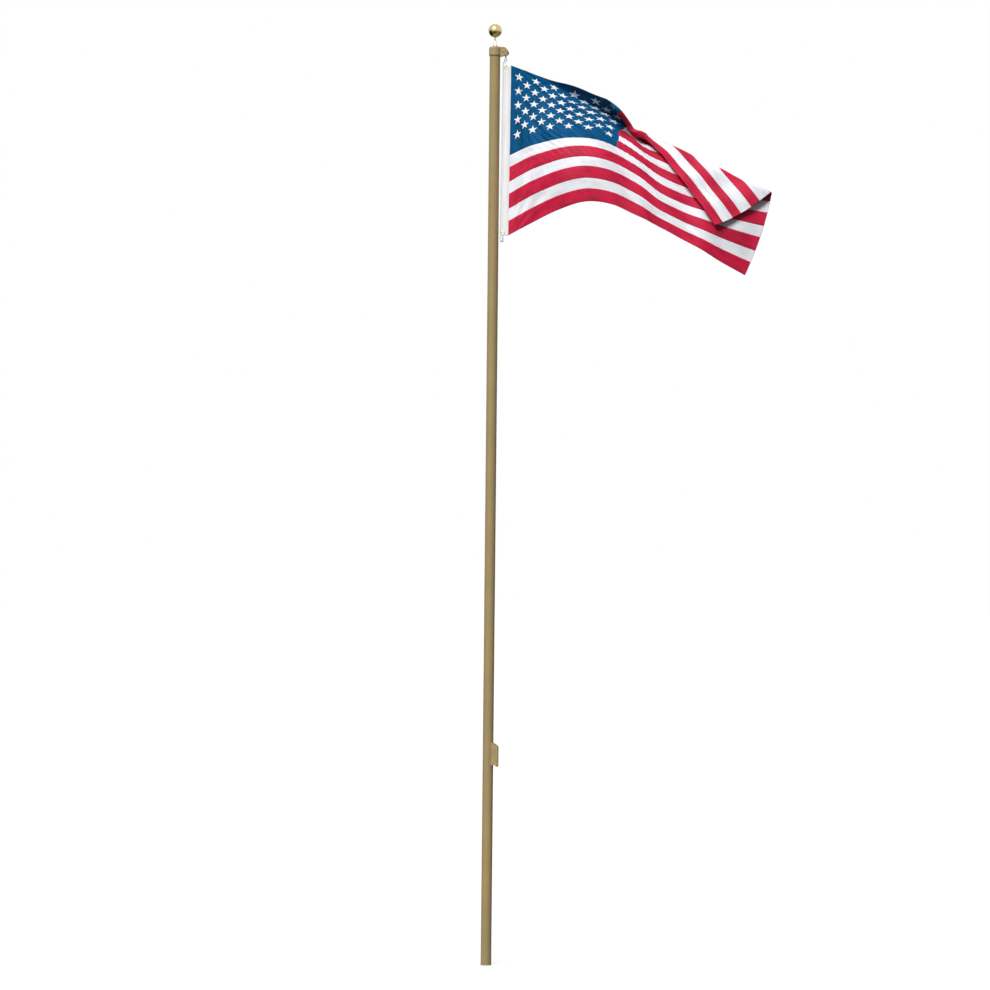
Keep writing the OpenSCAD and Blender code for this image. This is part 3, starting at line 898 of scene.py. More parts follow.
@dataclass(frozen=True)
class Tug:
    """A field of slanting creases: its height, and its middle and width along the fly and down the hoist."""

    height: float
    along: tuple[float, float]
    down: tuple[float, float]

    def at(self, s: Array, h: Array) -> Array:
        """Height of the creases: two bells times a sine across a slant, whose phase wanders along it.

        Args:
            s: places along the fly.
            h: places down the hoist.

        Returns:
            The heights.
        """
        across, along = 0.78 * s - 0.62 * h, 0.62 * s + 0.78 * h
        wave = np.sin(FULL_TURN * across / 29.0 + 1.6 * np.sin(along / 60.0))
        return self.height * wave * bell(s, *self.along) * bell(h, *self.down)


@dataclass
class Flag:
    """The flag: canton, stripes and stars on one rippling sheet, with its upper fly corner blown over."""

    hoist: float = HOIST
    fly: float = 1486.0
    canton: float = 0.4
    stripes: int = 13
    canton_stripes: int = 7
    cloth: float = 0.6
    lap: float = 3.5
    inset: float = 0.4
    layer: float = 0.35
    grain: float = 3.5
    corner: Triple = (87.0, 0.0, FLAG_Z)
    lean: float = LEAN
    roll: float = 15.0
    turn: float = math.pi
    slant: Triple = (0.19, 0.0, -0.07)
    fold_start: float = 505.0
    fold_end: float = 468.0
    mid_share: float = 7 / 13
    crease_start: float = 195.0
    crease_slope: float = 0.41
    crease_round: float = 12.0
    lip: float = 1.7
    lip_in: tuple[float, float] = (60.0, 240.0)
    lip_out: tuple[float, float] = (560.0, 200.0)
    lip_rise: float = 0.35
    push: float = 45.0
    push_wide: float = 110.0
    push_in: tuple[float, float] = (250.0, 300.0)
    push_out: tuple[float, float] = (594.0, 160.0)
    fans: tuple[Fan, ...] = (
        Fan(3.2, 330.0, 260.0, 24.0, drift=0.004), Fan(1.6, 180.0, 150.0, 41.0, phase=1.0),
        Fan(1.6, 240.0, 190.0, 19.0, lower=True))
    tugs: tuple[Tug, ...] = (
        Tug(2.4, (400.0, 240.0), (390.0, 170.0)), Tug(0.9, (760.0, 150.0), (480.0, 220.0)))
    star: float = 28.0
    star_steps: int = 40
    star_thick: float = 1.1
    rails: tuple[Array, Array, Array] = field(init=False)

    def __post_init__(self) -> None:
        """Lay the three rails: points from the upper hoist corner at even steps along the fly."""
        top = [[0, 0, 0], [140, 10, -50], [287, 45, -102], [434, 80, -160], [580, 70, -240], [715, 20, -365],
               [885, 40, -338], [1030, 60, -343], [1160, 60, -326], [1287, 40, -297], [1415, 10, -262]]
        mid = [[-self.lean / 2, 0, -480], [116, -50, -430], [256, -110, -400], [412, -130, -396],
               [574, -110, -441], [700, -80, -520], [828, -60, -604], [964, -50, -652], [1104, -40, -684],
               [1251, -25, -702], [1400, -10, -714]]
        low = [[-self.lean, 0, -self.hoist], [123, -40, -846], [257, -110, -784], [405, -160, -740],
               [548, -160, -755], [673, -140, -810], [788, -120, -862], [905, -100, -922], [1023, -80, -984],
               [1145, -50, -1054], [1268, -20, -1117]]
        self.rails = (np.array(top, float), np.array(mid, float), np.array(low, float))

    @property
    def stripe(self) -> float:
        """Width of a stripe."""
        return self.hoist / self.stripes

    @property
    def canton_size(self) -> tuple[float, float]:
        """The canton's flat length along the fly and height down the hoist."""
        return self.fly * self.canton, self.stripe * self.canton_stripes

    def spread(self, s: Array, h: Array) -> Array:
        """The unfolded cloth: a parabola through the three rails, with its top hung forward over a crease.

        The part above the slanting crease comes forward by its distance from it, and a bell along the crease
        pushes the cloth towards the fly.

        Args:
            s: places along the fly.
            h: places down the hoist.

        Returns:
            The cloth's points.
        """
        a, b, m = s / self.fly, (h / self.hoist)[..., None], self.mid_share
        top, mid, low = (spline(rail, a) for rail in self.rails)
        loft = top * (b - m) * (b - 1) / m + mid * b * (b - 1) / (m * (m - 1)) + low * b * (b - m) / (1 - m)
        deep = self.crease_slope * (s - self.crease_start)
        hang, full = (np.hypot(d, self.crease_round) + d for d in (deep - h, deep))
        share = ease(s, *self.lip_in) * (1.0 - ease(s, *self.lip_out)) / 2
        rise = self.lip_rise * (hang - full * (1 - b[..., 0]) ** 4)
        near = bell(deep - h, 0.0, self.push_wide) * ease(s, *self.push_in)
        push = self.push * near * (1.0 - ease(s, *self.push_out))
        lip = np.stack([push, -self.lip * hang * share, rise * share], -1)
        return np.array(self.corner) + loft + lip

    def folded(self, s: Array, h: Array) -> Array:
        """The cloth with what lies beyond the fold line turned over a roll and hung in front.

        A point at a distance d past the line goes round the roll by d over its radius, up to the full turn,
        and then straight on.

        Args:
            s: places along the fly.
            h: places down the hoist.

        Returns:
            The cloth's points.
        """
        length = math.hypot(self.fly - self.fold_start, self.fold_end)
        across = np.array([self.fold_end, self.fold_start - self.fly]) / length
        d = np.maximum(0.0, (s - self.fold_start) * across[0] + h * across[1])
        turn = np.minimum(d / self.roll, self.turn)
        past = np.maximum(0.0, d - self.roll * self.turn)
        reach = self.roll * np.sin(turn) + past * np.cos(turn)
        lift = self.roll * (1 - np.cos(turn)) + past * np.sin(turn)
        s1, h1 = s + (reach - d) * across[0], h + (reach - d) * across[1]
        hang = lift[..., None] * front(self.spread, s1, h1) + past[..., None] * np.array(self.slant)
        return self.spread(s1, h1) + hang

    def ripple(self, s: Array, h: Array) -> Array:
        """Height of the flutter: broad sine waves that grow from the hoist, with fanned and slanting creases.

        Args:
            s: places along the fly.
            h: places down the hoist.

        Returns:
            The heights over the plain cloth.
        """
        b = h / self.hoist
        waves = 5.0 * np.sin(FULL_TURN * (s / 430.0 + 0.45 * b)) * (0.35 + 0.65 * b)
        waves += 3.0 * np.sin(FULL_TURN * (s / 205.0 - 0.7 * b) + 0.8)
        creases = sum(fan.at(s, h, self.hoist) for fan in self.fans) + sum(tug.at(s, h) for tug in self.tugs)
        return ease(s, 0.0, 260.0) * waves + ease(s, 0.0, 60.0) * creases

    def surface(self, s: Array, h: Array, lift: Array) -> Array:
        """The rippled cloth, or a layer at a height over it."""
        return self.folded(s, h) + front(self.folded, s, h) * (self.ripple(s, h) + lift)[..., None]

    def panel(self, span: tuple[float, float], drop: tuple[float, float], steps: tuple[int, int],
              layer: float) -> Skin:
        """A closed panel of thin cloth over a rectangle of the flat flag.

        Args:
            span: its start and end along the fly.
            drop: its start and end down the hoist.
            steps: its steps along and down.
            layer: height of its mid plane over the flag's.

        Returns:
            The panel's skin: the grid goes down the front and up the back, so the hems are folded edges.
        """
        down = np.linspace(*drop, steps[1] + 1)
        n, half = 2 * len(down), len(down)
        side = np.repeat([1.0, -1.0], half) * self.cloth / 2
        both_ways = np.concatenate([down, down[::-1]])
        s, h = np.meshgrid(np.linspace(*span, steps[0] + 1), both_ways, indexing="ij")
        points = self.surface(s, h, layer + np.broadcast_to(side, s.shape))
        uv = np.stack([s, h], -1) * MM
        skin = Skin.grid(points, np.concatenate([uv, uv[:, :1]], 1), wrap=True)
        ring = np.arange(half - 1)
        quads = np.stack([ring, ring + 1, n - 2 - ring, n - 1 - ring], -1)
        for column, way in ((0, -1), (steps[0], 1)):
            ends = np.broadcast_to(uv[column, :half - 1, None], (half - 1, 4, 2))
            skin.add((column * n + quads)[:, ::way], ends)
        return skin

    def stripe_skin(self, first: int, layer: float) -> Skin:
        """Every second stripe, lapped over its neighbours at the seams.

        Args:
            first: the number of the first stripe, from the top.
            layer: height of the stripes over the flag's mid plane.

        Returns:
            The stripes' skin.
        """
        skins = []
        for k in range(first, self.stripes, 2):
            start = self.canton_size[0] - self.lap if k < self.canton_stripes else self.inset
            drop = (max(0.0, k * self.stripe - self.lap), min(self.hoist, (k + 1) * self.stripe + self.lap))
            count = int(round((self.fly - start) / self.grain))
            skins.append(self.panel((start, self.fly), drop, (count, 18), layer))
        return Skin.join(skins)

    def star_centres(self) -> Array:
        """Flat places of the fifty stars: nine rows by eleven columns, every second place.

        Returns:
            Each star's s and h.
        """
        rows, cols = np.meshgrid(np.arange(9), np.arange(11), indexing="ij")
        keep = (rows + cols) % 2 == 0
        length, high = self.canton_size
        return np.stack([(cols[keep] + 1) / 12 * length, (0.113 + 0.0871 * rows[keep]) * high], -1)

    def star_skin(self, face: Face) -> Skin:
        """Fifty closed stars: rings shrunk from the five-pointed outline, the outer one turned down.

        Args:
            face: the face of the cloth that they are sewn on.

        Returns:
            The stars' skin.
        """
        turn = around(self.star_steps)
        wedge = math.pi / 5
        fold = np.abs((turn + wedge) % (2 * wedge) - wedge)
        inner = math.sin(wedge / 2) / math.sin(3 * wedge / 2)
        edge = np.array([inner * math.cos(wedge) - 1, inner * math.sin(wedge)])
        outline = self.star * edge[1] / (edge[1] * np.cos(fold) - edge[0] * np.sin(fold))
        share = np.array([1.0, 1.0, 0.96, 0.75, 0.5, 0.25, 0.03])[:, None]
        rise = np.array([0.0, 0.5, 0.8, 0.95, 1.0, 1.0, 1.0]) * self.star_thick + self.cloth / 2 + 0.3
        centres = self.star_centres()[:, None, None]
        s = centres[..., 0] + share * outline * np.sin(turn)
        h = centres[..., 1] - share * outline * np.cos(turn)
        points = self.surface(s, h, face.value * np.broadcast_to(rise[None, :, None], s.shape))
        uv = np.stack([s, h], -1) * MM
        uv = np.concatenate([uv, uv[:, :, :1]], 2)
        stars = []
        for k in range(len(points)):
            star = Skin.grid(points[k], uv[k], wrap=True, flip=face is Face.FRONT)
            for row, way in ((len(share) - 1, -1), (0, 1)):
                order = np.arange(self.star_steps)[:: way * face.value]
                star.add((row * self.star_steps + order)[None], uv[k, row, order])
            stars.append(star)
        return Skin.join(stars)

    def build(self) -> None:
        length, high = self.canton_size
        canton = self.panel((self.inset, length + self.lap), (0.0, high + self.lap), (180, 150), 0.0)
        blue = put(canton.to_object("canton_cloth"), BLUE_NYLON, Body.FLAG, "flag_canton")
        bands = self.stripe_skin(0, self.layer).to_object("red_stripe_cloth")
        red = put(bands, RED_NYLON, Body.FLAG, "flag_red_stripes")
        bands = self.stripe_skin(1, -self.layer).to_object("white_stripe_cloth")
        white = put(bands, WHITE_NYLON, Body.FLAG, "flag_white_stripes")
        stars = Skin.join([self.star_skin(face) for face in Face])
        put(stars.to_object("sewn_stars"), STAR_THREAD, Body.FLAG)


@dataclass
class Hoist:
    """Header, grommets, snaps and the halyard that hoists the flag."""

    flag_z: float = FLAG_Z
    hoist: float = HOIST
    lean: float = LEAN
    header_x: float = 49.0
    header_w: float = 38.0
    header_t: float = 3.0
    drop_x: float = DROP_X
    inset: float = 13.0
    hole: float = 5.5
    rim: float = 4.0
    wire: float = 4.0
    rope: float = ROPE
    cap_z: float = CAP_Z
    clear: float = 0.3
    knot_size: float = 2.2

    @property
    def holes(self) -> list[tuple[float, float]]:
        """Centres of the two grommets, as x and z."""
        low = self.flag_z - self.hoist + self.inset
        return [(self.drop_x, self.flag_z - self.inset), (self.drop_x + self.lean_x(low), low)]

    @property
    def hook_r(self) -> float:
        """Radius of a snap's hook, to the middle of its wire."""
        return self.inset - 3.5

    @property
    def seat(self) -> float:
        """Height of the hook's lowest point over its grommet's centre."""
        return self.hole - self.wire / 2 - self.clear

    @property
    def eye_r(self) -> float:
        """Radius of a snap's eye."""
        return 1.4 * self.wire

    @property
    def eye_w(self) -> float:
        """Radius of the eye's own wire."""
        return 0.45 * self.wire

    @property
    def eye_rise(self) -> float:
        """Height of a snap's eye over its grommet's centre."""
        return self.seat + 2 * self.hook_r + 8.0 + self.wire

    def lean_x(self, z: Array | float) -> Array | float:
        """Shift of the leaning hoist at a height."""
        return -self.lean * (self.flag_z - z) / self.hoist

    def header(self) -> None:
        """Header strip: two grids that meet on the grommets' line and part round the two holes."""
        low = self.flag_z - self.hoist
        near = self.hole + 1.0
        bow = near * np.sin(np.linspace(-RIGHT_ANGLE, RIGHT_ANGLE, 17))
        (_, z0), (_, z1) = self.holes
        z = np.concatenate([[self.flag_z, self.flag_z - 3], z0 - bow, np.linspace(z0 - 12, z1 + 12, 90),
                            z1 - bow, [low + 3, low]])
        gap = np.sqrt(np.maximum(0, near**2 - np.minimum(np.abs(z - z0), np.abs(z - z1)) ** 2))
        line = self.drop_x + self.lean_x(z)
        left, right = self.header_x + self.lean_x(z), self.header_x + self.header_w + self.lean_x(z)
        sides = []
        for start, stop, count in ((left, line - gap, 7), (line + gap, right, 15)):
            x = start[:, None] + (stop - start)[:, None] * np.linspace(0, 1, count)
            across = x - left[:, None]
            wave = 0.5 * np.sin(z / 37.0)[:, None] * np.sin(math.pi * across / self.header_w)
            points = np.stack([x, wave, z[:, None] + 0 * x], -1)
            uv = np.stack([across, self.flag_z - z[:, None] + 0 * x], -1) * MM
            sides.append(Skin.grid(points, uv, flip=True))
        strip = Skin.join(sides).to_object("header_canvas", weld=0.01)
        thick = strip.modifiers.new("canvas", "SOLIDIFY")
        thick.thickness, thick.offset = self.header_t * MM, 0.0
        put(strip, HEADER_CANVAS, Body.FLAG, "flag_header")

    def grommets(self) -> None:
        """Two rolled brass grommets: half an ellipse carried round on each face, and a throat."""
        inner, outer, half = self.hole, self.hole + self.rim, self.header_t / 2
        t = np.linspace(0, math.pi, 9)
        lip, mid = (outer - inner) / 2, (outer + inner) / 2
        top = np.stack([mid + lip * np.cos(t), half + 0.25 + 1.0 * np.sin(t)], -1)
        cap = lathe(np.vstack([top, [[inner + 0.9, half + 0.1], [outer - 0.6, half + 0.1]]]), 40, closed=True)
        wide = inner + 1.2
        wall = [[wide, -half - 0.25], [wide, half + 0.25], [inner, half + 0.6], [inner, -half - 0.6]]
        throat = lathe(wall, 40, closed=True)
        quarter = turn_x(RIGHT_ANGLE)
        one = Skin.join([cap.turned(quarter), cap.turned(turn_x(-RIGHT_ANGLE)), throat.turned(quarter)])
        both = Skin.join([one.turned(move(x, 0, z)) for x, z in self.holes])
        put(both.to_object("brass_grommets", weld=0.005), BRASS, Body.FLAG, "grommets")

    def snap(self) -> Skin:
        """A swivel snap hook over its grommet: hooked wire, spring gate, thumb stud, swivel barrel and eye.

        Returns:
            The snap's skin, with the grommet's centre at the origin.
        """
        r, w = self.hook_r, self.wire / 2
        middle = np.array([0, 0, self.seat + r])
        side_way = (1.0, 0.0, 0.0)

        def arc(a0: float, a1: float, n: int) -> Array:
            """Part of the hook's circle, which stands in the YZ plane."""
            a = np.radians(np.linspace(a0, a1, n))
            return middle + r * np.stack([0 * a, np.cos(a), np.sin(a)], -1)

        taper = w * np.concatenate([np.ones(40), np.linspace(1, 0.72, 8)])
        hook = tube(arc(98, 398, 48), taper, 14, side_way)
        gate = tube(arc(30, 84, 12), np.full(12, 0.62 * w), 12, side_way)
        stud_path = np.array([[0, 0, 0], [0, 0.6, 0.4], [0, 2.6, 1.7], [0, 3.2, 2.1]]) + arc(52, 52, 1)
        stud = tube(stud_path, np.array([0.9, 0.9, 1.3, 0.7]), 12, side_way)
        outline = [(0.0, -1.6), (2.2, -1.4), (3.6, 0.2), (3.8, 1.2), (3.1, 2.0), (3.1, 3.0), (3.8, 3.6),
                   (3.8, 6.4), (3.0, 7.6), (1.9, 8.4), (1.7, 9.4), (0.0, 9.6)]
        barrel = lathe(outline, 28).turned(move(0, 0, self.seat + 2 * r))
        t = around(14)
        wire = np.stack([self.eye_r + self.eye_w * np.cos(t), self.eye_w * np.sin(t)], -1)
        eye = lathe(wire, 36, closed=True).turned(move(0, 0, self.eye_rise) @ turn_x(RIGHT_ANGLE))
        return Skin.join([hook, gate, stud, barrel, eye])

    def snaps(self) -> None:
        """Put one snap over the upper grommet and one, turned over, under the lower grommet."""
        (x0, z0), (x1, z1) = self.holes
        upper = self.snap().turned(move(x0, 0, z0))
        lower = self.snap().turned(move(x1, 0, z1) @ Matrix.Rotation(math.pi, 4, "Y"))
        put(upper.to_object("upper_snap", weld=0.005), NICKEL, Body.FLAG, "top_snap")
        put(lower.to_object("lower_snap", weld=0.005), NICKEL, Body.FLAG, "bottom_snap")

    def knot(self, x: float, z: float) -> Skin:
        """An overhand knot: rope carried along a trefoil, (sin t + 2 sin 2t, -1.3 sin 3t, cos t - 2 cos 2t).

        Args:
            x: its place along X.
            z: its height.

        Returns:
            The knot's skin.
        """
        t = around(120)
        trefoil = [np.sin(t) + 2 * np.sin(2 * t), -1.3 * np.sin(3 * t), np.cos(t) - 2 * np.cos(2 * t)]
        path = self.knot_size * np.stack(trefoil, -1)
        along = unit(np.roll(path, -1, 0) - np.roll(path, 1, 0))
        points = path[:, None] + 0.78 * self.rope * section(along, -unit(path), 16)
        points = np.concatenate([points, points[:1]])
        v, u = np.meshgrid(np.linspace(0, 0.2, 121), np.linspace(0, 1, 17), indexing="ij")
        return Skin.grid(points, np.stack([u, v], -1), wrap=True).turned(move(x, 0, z))

    def halyard(self) -> None:
        """Rope between the snaps, with a knot at each eye, and the drop from the beak that pays out."""
        (x0, z0), (x1, z1) = self.holes
        eye0, eye1 = z0 + self.eye_rise, z1 - self.eye_rise
        run_x = self.drop_x - self.hole - self.rim - self.rope - self.clear
        tie_x = x1 - self.eye_r - self.rope - 2.0
        low = self.flag_z - self.hoist
        route = [[x0 - 5, 0, eye0 + 6], [run_x + 3, 0, eye0 - 2], [run_x, 0, eye0 - 16], [run_x, 0, z0 - 10]]
        route += [[run_x - self.lean * k / 8, 0, z0 - 10 + (low + 10 - z0) * k / 8] for k in range(1, 9)]
        route += [[run_x - self.lean - 0.2, 0, low - 14], [tie_x - 1, 0, eye1 + 14], [tie_x, 0, eye1],
                  [tie_x, 0, eye1 - 16]]
        run = braid(even_path(route, 2.0), self.rope)
        knots = [self.knot(x0, eye0 + 7.5), self.knot(x1 - 4, eye1 - 5.5)]
        put(Skin.join([run, *knots]).to_object("halyard_between_snaps"), HALYARD, Body.FLAG, "halyard_run")
        top, end = self.cap_z, eye0 + self.eye_r + self.eye_w + self.clear
        z = np.linspace(top, end, 25)
        drop = braid(np.stack([0 * z + self.drop_x, 0 * z, z], -1), self.rope)
        piece = drop.to_object("halyard_drop_rope")
        piece.data.materials.append(HALYARD.material())
        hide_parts("halyard_drop")
        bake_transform(piece)
        LOG.info("halyard_drop_rope: blends from truck to flag")

    def build(self) -> None:
        """Make every piece of the hoist."""
        self.header()
        self.grommets()
        self.snaps()
        self.halyard()


@dataclass
class Truck:
    """Revolving truck and finial on top of the tube."""

    pole_h: float = POLE_H
    cap_z: float = CAP_Z
    drop_x: float = DROP_X
    pitch: float = 13.5
    sheave_x: float = 44.5
    sheave_z: float = 4909.8
    beak_w: float = 34.0
    rivet: Triple = (6.2, 2.4, 0.2)
    neck: float = 5.3
    rope: float = ROPE

    def ball(self) -> None:
        """Spun ball: a half circle carried round, with a seam at its waist and a rolled neck."""
        low, high = (np.array(c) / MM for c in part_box("finial_ball"))
        r = (high[0] - low[0]) / 2
        a = np.linspace(-RIGHT_ANGLE + math.asin(self.neck / r), RIGHT_ANGLE, 65)
        seam = 1.0 - 0.006 * bell(a, 0.0, 0.018)
        outline = np.stack([r * seam * np.cos(a), r * seam * np.sin(a)], -1)
        outline[-1, 0] = 0.0
        neck = np.array([[0.0, -1.2], [6.2, -1.2], [7.0, -0.4], [6.6, 0.4]]) + [0.0, outline[0, 1]]
        skin = lathe(np.vstack([neck, outline[2:]]), 96).turned(move(0, 0, high[2] - r))
        put(skin.to_object("gold_ball", weld=0.002), GOLD, Body.TRUCK, "finial_ball")

    def rivets(self) -> None:
        """Domed heads on both ends of the sheave's pin."""
        head = dome(*self.rivet, 8, 32)
        skins = []
        for side in (1, -1):
            at = move(self.sheave_x, side * self.beak_w / 2, self.sheave_z)
            skins.append(head.turned(at @ turn_x(-side * RIGHT_ANGLE)))
        put(Skin.join(skins).to_object("sheave_rivets", weld=0.005), TAN_POWDER, Body.TRUCK)

    def lead(self) -> None:
        """Halyard from the tube's axis up and over the sheave to the beak's mouth."""
        joint = self.pole_h - 10.0
        a = np.radians(np.arange(135, -1, -15))
        middle = np.array([self.sheave_x, 0.0, self.sheave_z])
        wrap = middle + self.pitch * np.stack([np.cos(a), 0 * a, np.sin(a)], -1)
        route = [[0, 0, joint], [0, 0, joint + 10], [5, 0, joint + 22], [15, 0, joint + 34], *wrap.tolist(),
                 [self.drop_x, 0, self.cap_z]]
        skin = braid(even_path(route, 1.5), self.rope)
        put(skin.to_object("halyard_over_sheave"), HALYARD, Body.TRUCK, "halyard_lead")

    def build(self) -> None:
        """Make the new pieces and dress the CAD solids."""
        self.ball()
        self.rivets()
        self.lead()
        dress_nodes(TAN_POWDER, "truck_cap")
        dress_nodes(BLACK_NYLON, "sheave")
        dress_nodes(GROUND_STEEL, "sheave_pin")
        dress_nodes(TURNED_ALUMINIUM, "finial_hub")
        dress_nodes(GOLD, "finial_stem")


@dataclass
class Pole:
    """The tube, its ferrule and washer, and the cleat box with the halyard's end."""

    pole_h: float = POLE_H
    cleat_z: float = 1100.0
    cleat_h: float = 52.0
    cleat_face: float = 42.0
    groove_x: float = 38.0
    screw: Triple = (2.6, 1.5, 0.3)
    screw_y: float = 7.9
    slot: tuple[float, float] = (0.5, 0.8)
    rope: float = ROPE

    def inner_rope(self) -> None:
        """Halyard down the tube, out behind the cleat box and through the jam cleat, with a whipped end."""
        top = self.cleat_z + self.cleat_h
        out = top + 17.0
        end = self.cleat_z - 8
        bend = [[0, 0, out + 60], [1, 0, out + 40], [8, 0, out + 22], [18, 0, out + 9], [27, 0, out - 1],
                [34, 0, out - 8], [self.groove_x, 0, top + 2], [self.groove_x, 0, end]]
        straight = np.linspace(self.pole_h - 10.3, out + 60, 420)[:-1]
        tall = np.stack([0 * straight, 0 * straight, straight], -1)
        skin = braid(np.vstack([tall, even_path(bend, 1.6)]), self.rope, 24)
        ring = [(0.0, -1.5), (3.6, -1.2), (4.25, -0.4), (4.25, 4.4), (3.6, 5.2), (0.0, 5.3)]
        whip = lathe(ring, 24).turned(move(self.groove_x, 0, end))
        piece = Skin.join([skin, whip]).to_object("halyard_in_tube", weld=0.002)
        put(piece, HALYARD, Body.POLE, "halyard_inner")

    def screws(self) -> None:
        """Four pan-head screws on the jam cleat's two flanks, each with a slot across its head."""
        head = dome(*self.screw, 7, 20)
        cut = np.abs(head.points[:, 0]) < self.slot[0]
        head.points[cut, 2] = np.minimum(head.points[cut, 2], self.slot[1])
        flat = Matrix.Rotation(RIGHT_ANGLE, 4, "Y")
        heights = [self.cleat_z + self.cleat_h * share for share in (0.14, 0.86)]
        places = [move(self.cleat_face, side * self.screw_y, z) for side in (1, -1) for z in heights]
        skins = [head.turned(place @ flat) for place in places]
        put(Skin.join(skins).to_object("cleat_screws", weld=0.005), GROUND_STEEL, Body.POLE)

    def build(self) -> None:
        """Make the new pieces and dress the CAD solids."""
        self.inner_rope()
        self.screws()
        dress_nodes(GEL_COAT, "pole_shaft")
        dress_nodes(TAN_POWDER, "truck_ferrule", "cleat_base", "cleat_cover")
        dress_nodes(BLACK_NYLON, "bearing_washer", "jam_cleat")
        dress_nodes(BLACK_OXIDE, "hinge_pin")


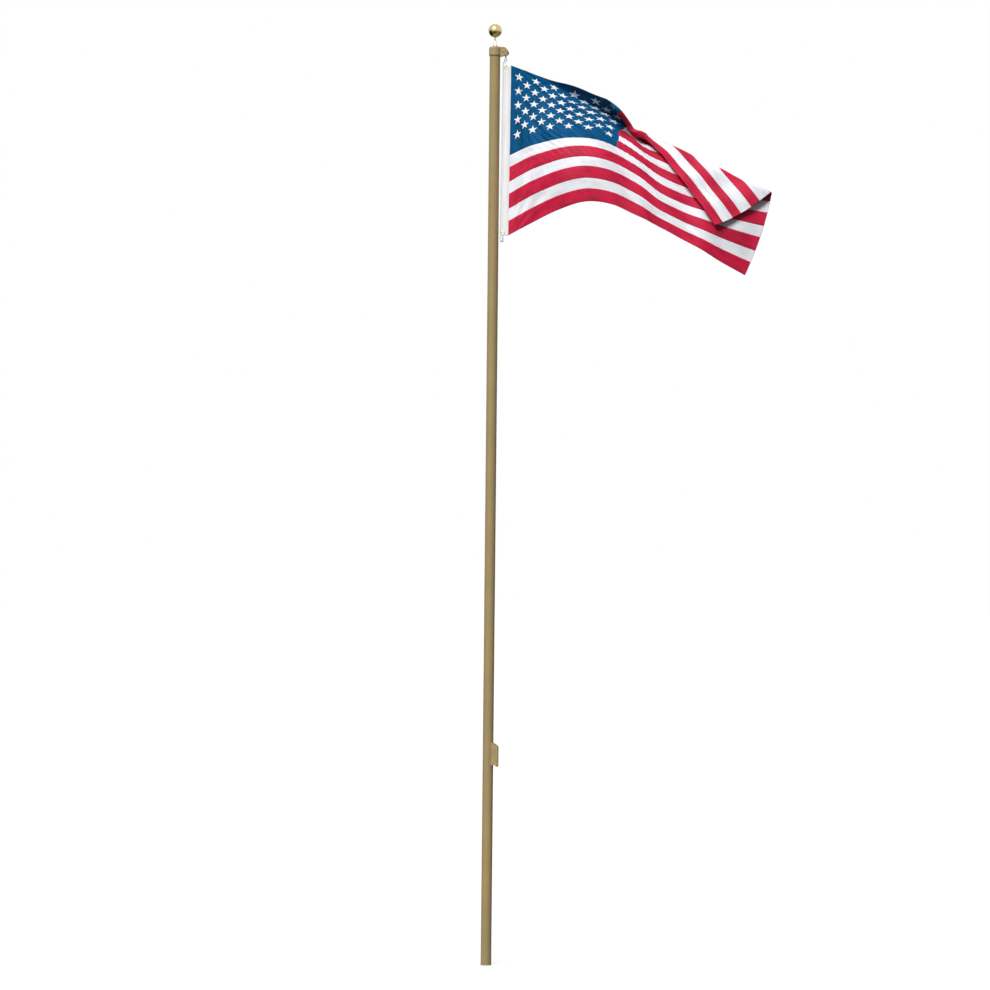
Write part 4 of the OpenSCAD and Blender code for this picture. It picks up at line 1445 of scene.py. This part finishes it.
@dataclass
class Studio:
    """Camera, light, floor and background, in metres."""

    scale: float = 0.005375
    pixels: float = 990.0
    distance: float = 20.0
    aim: tuple[float, float] = (0.0235, 2.5258)
    roll: float = 0.0101
    sky: tuple[float, float] = (0.46, 0.36)
    rise: tuple[float, float] = (0.34, 1.1)
    behind: float = 3.6
    sun: float = 3.5
    sun_high: float = 42.0
    sun_aside: float = 24.0
    sun_angle: float = 22.0
    floor_size: float = 60.0
    floor_greys: tuple[float, float] = (0.03, 0.2)
    floor_glow: float = 0.79
    cards: tuple[tuple[Triple, Triple, Triple, float], ...] = (
        ((-40.0, -50.0, 0.1), (80.0, 0.0, 0.0), (0.0, 80.0, 0.0), 0.22),
        ((-5.0, -11.0, 0.4), (7.0, 0.0, 0.0), (0.0, 7.0, 0.0), 0.01),
        ((-32.0, -4.0, 0.2), (29.0, 0.0, 0.0), (0.0, 34.0, 0.0), 0.015),
        ((-7.0, -3.0, 0.4), (0.0, 9.0, 0.0), (0.0, 0.0, 5.2), 0.01),
        ((7.0, 2.0, 0.4), (0.0, 6.0, 0.0), (0.0, 0.0, 4.2), 0.03),
        ((-9.0, 14.0, 0.4), (8.0, 0.0, 0.0), (0.0, 0.0, 12.0), 0.02))

    def camera(self) -> None:
        """A long lens level with the pole's middle, turned about its axis as the photograph is."""
        data = bpy.data.cameras.new("camera")
        data.sensor_width = 36.0
        data.lens = data.sensor_width * self.distance / (self.scale * self.pixels)
        data.clip_end = 200.0
        cam = bpy.data.objects.new("camera", data)
        c, s = math.cos(self.roll), math.sin(self.roll)
        turn = Matrix(((c, -s, 0), (0, 0, -1), (s, c, 0))).to_4x4()
        cam.matrix_world = move(self.aim[0], -self.distance, self.aim[1]) @ turn
        bpy.context.scene.collection.objects.link(cam)
        bpy.context.scene.camera = cam

    def seen(self, net: Net) -> Socket:
        """1 for rays that look at the background: from the camera, a mirror or glass.

        Args:
            net: the net of the material or the world.

        Returns:
            The value.
        """
        path = net.node("LightPath").outputs
        looks = net.math("MAXIMUM", path["Is Camera Ray"], path["Is Glossy Ray"])
        return net.math("MAXIMUM", looks, path["Is Transmission Ray"])

    def world(self) -> None:
        """White to look at, with a plain sky light, stronger from above, from behind and from the left."""
        world = bpy.data.worlds.new("studio")
        world.use_nodes = True
        bpy.context.scene.world = world
        net = Net(world.node_tree)
        way = net.split(net.place("Generated"))
        dim, bright = self.sky
        level = net.feed(net.node("MapRange"), Value=way[0], From_Min=-1.0, To_Min=dim, To_Max=bright)[0]
        level = net.math("MULTIPLY", level, net.ramp(way[2], 0.0, 0.8, *self.rise))
        level = net.math("MULTIPLY", level, net.ramp(way[1], 0.0, 0.8, 1.0, self.behind))
        strength = net.feed(net.node("MapRange"), Value=self.seen(net), To_Min=level, To_Max=1.0)[0]
        net.feed(world.node_tree.nodes["Background"], Color=WHITE, Strength=strength)

    def lamps(self) -> None:
        """One broad sun from the upper left, in front of the flag."""
        data = bpy.data.lights.new("key", "SUN")
        data.energy = self.sun
        data.angle = math.radians(self.sun_angle)
        lamp = bpy.data.objects.new("key", data)
        high, aside = math.radians(self.sun_high), math.radians(self.sun_aside)
        level = math.cos(high)
        towards = Vector((-level * math.sin(aside), -level * math.cos(aside), math.sin(high)))
        lamp.matrix_world = towards.to_track_quat("Z", "Y").to_matrix().to_4x4()
        bpy.context.scene.collection.objects.link(lamp)

    def floor(self) -> None:
        """Pale floor that shows the shadow and sends little light back up."""
        half = self.floor_size / MM
        u = np.linspace(-half, half, 3)
        points = np.stack(np.broadcast_arrays(u[None, :], u[:, None], np.array([[-1.0]])), -1)
        obj = Skin.grid(points, points[..., :2] * MM).to_object("floor", smooth=False)
        made, net = new_material("pale floor")
        seen = self.seen(net)
        colour = net.mix(seen, *((grey, grey, grey, 1.0) for grey in self.floor_greys))
        net.shade(Base_Color=colour, Roughness=1.0, Specular_IOR_Level=0.0, Emission_Color=WHITE,
                  Emission_Strength=net.math("MULTIPLY", seen, self.floor_glow))
        obj.data.materials.append(made)

    def mirror_cards(self) -> None:
        """A dim ground and five dark cards that only mirrors see, so that metal keeps its contrast."""
        u, v = np.meshgrid([0.0, 1.0], [0.0, 1.0])
        for k, (foot, along, away, grey) in enumerate(self.cards):
            dim, net = new_material(f"card {k}")
            net.shade(Base_Color=(grey, 0.93 * grey, 0.7 * grey, 1.0), Roughness=1.0, Specular_IOR_Level=0.0)
            points = np.array(foot) + u[..., None] * np.array(along) + v[..., None] * np.array(away)
            card = Skin.grid(points / MM, points[..., :2]).to_object(f"mirror_card_{k}", smooth=False)
            card.data.materials.append(dim)
            for ray in ("camera", "diffuse", "shadow", "transmission"):
                setattr(card, "visible_" + ray, False)

    def build(self) -> None:
        """Set the whole stage."""
        bpy.context.scene.view_settings.view_transform = "Standard"
        self.camera()
        self.world()
        self.lamps()
        self.floor()
        self.mirror_cards()


def main() -> None:
    """Build the stage and every sub-assembly, in order."""
    logging.basicConfig(level=logging.INFO, format="%(name)s %(message)s")
    for assembly in (Studio(), Pole(), Truck(), Hoist(), Flag()):
        assembly.build()
        LOG.info("%s done", type(assembly).__name__)


if __name__ == "__main__":
    main()
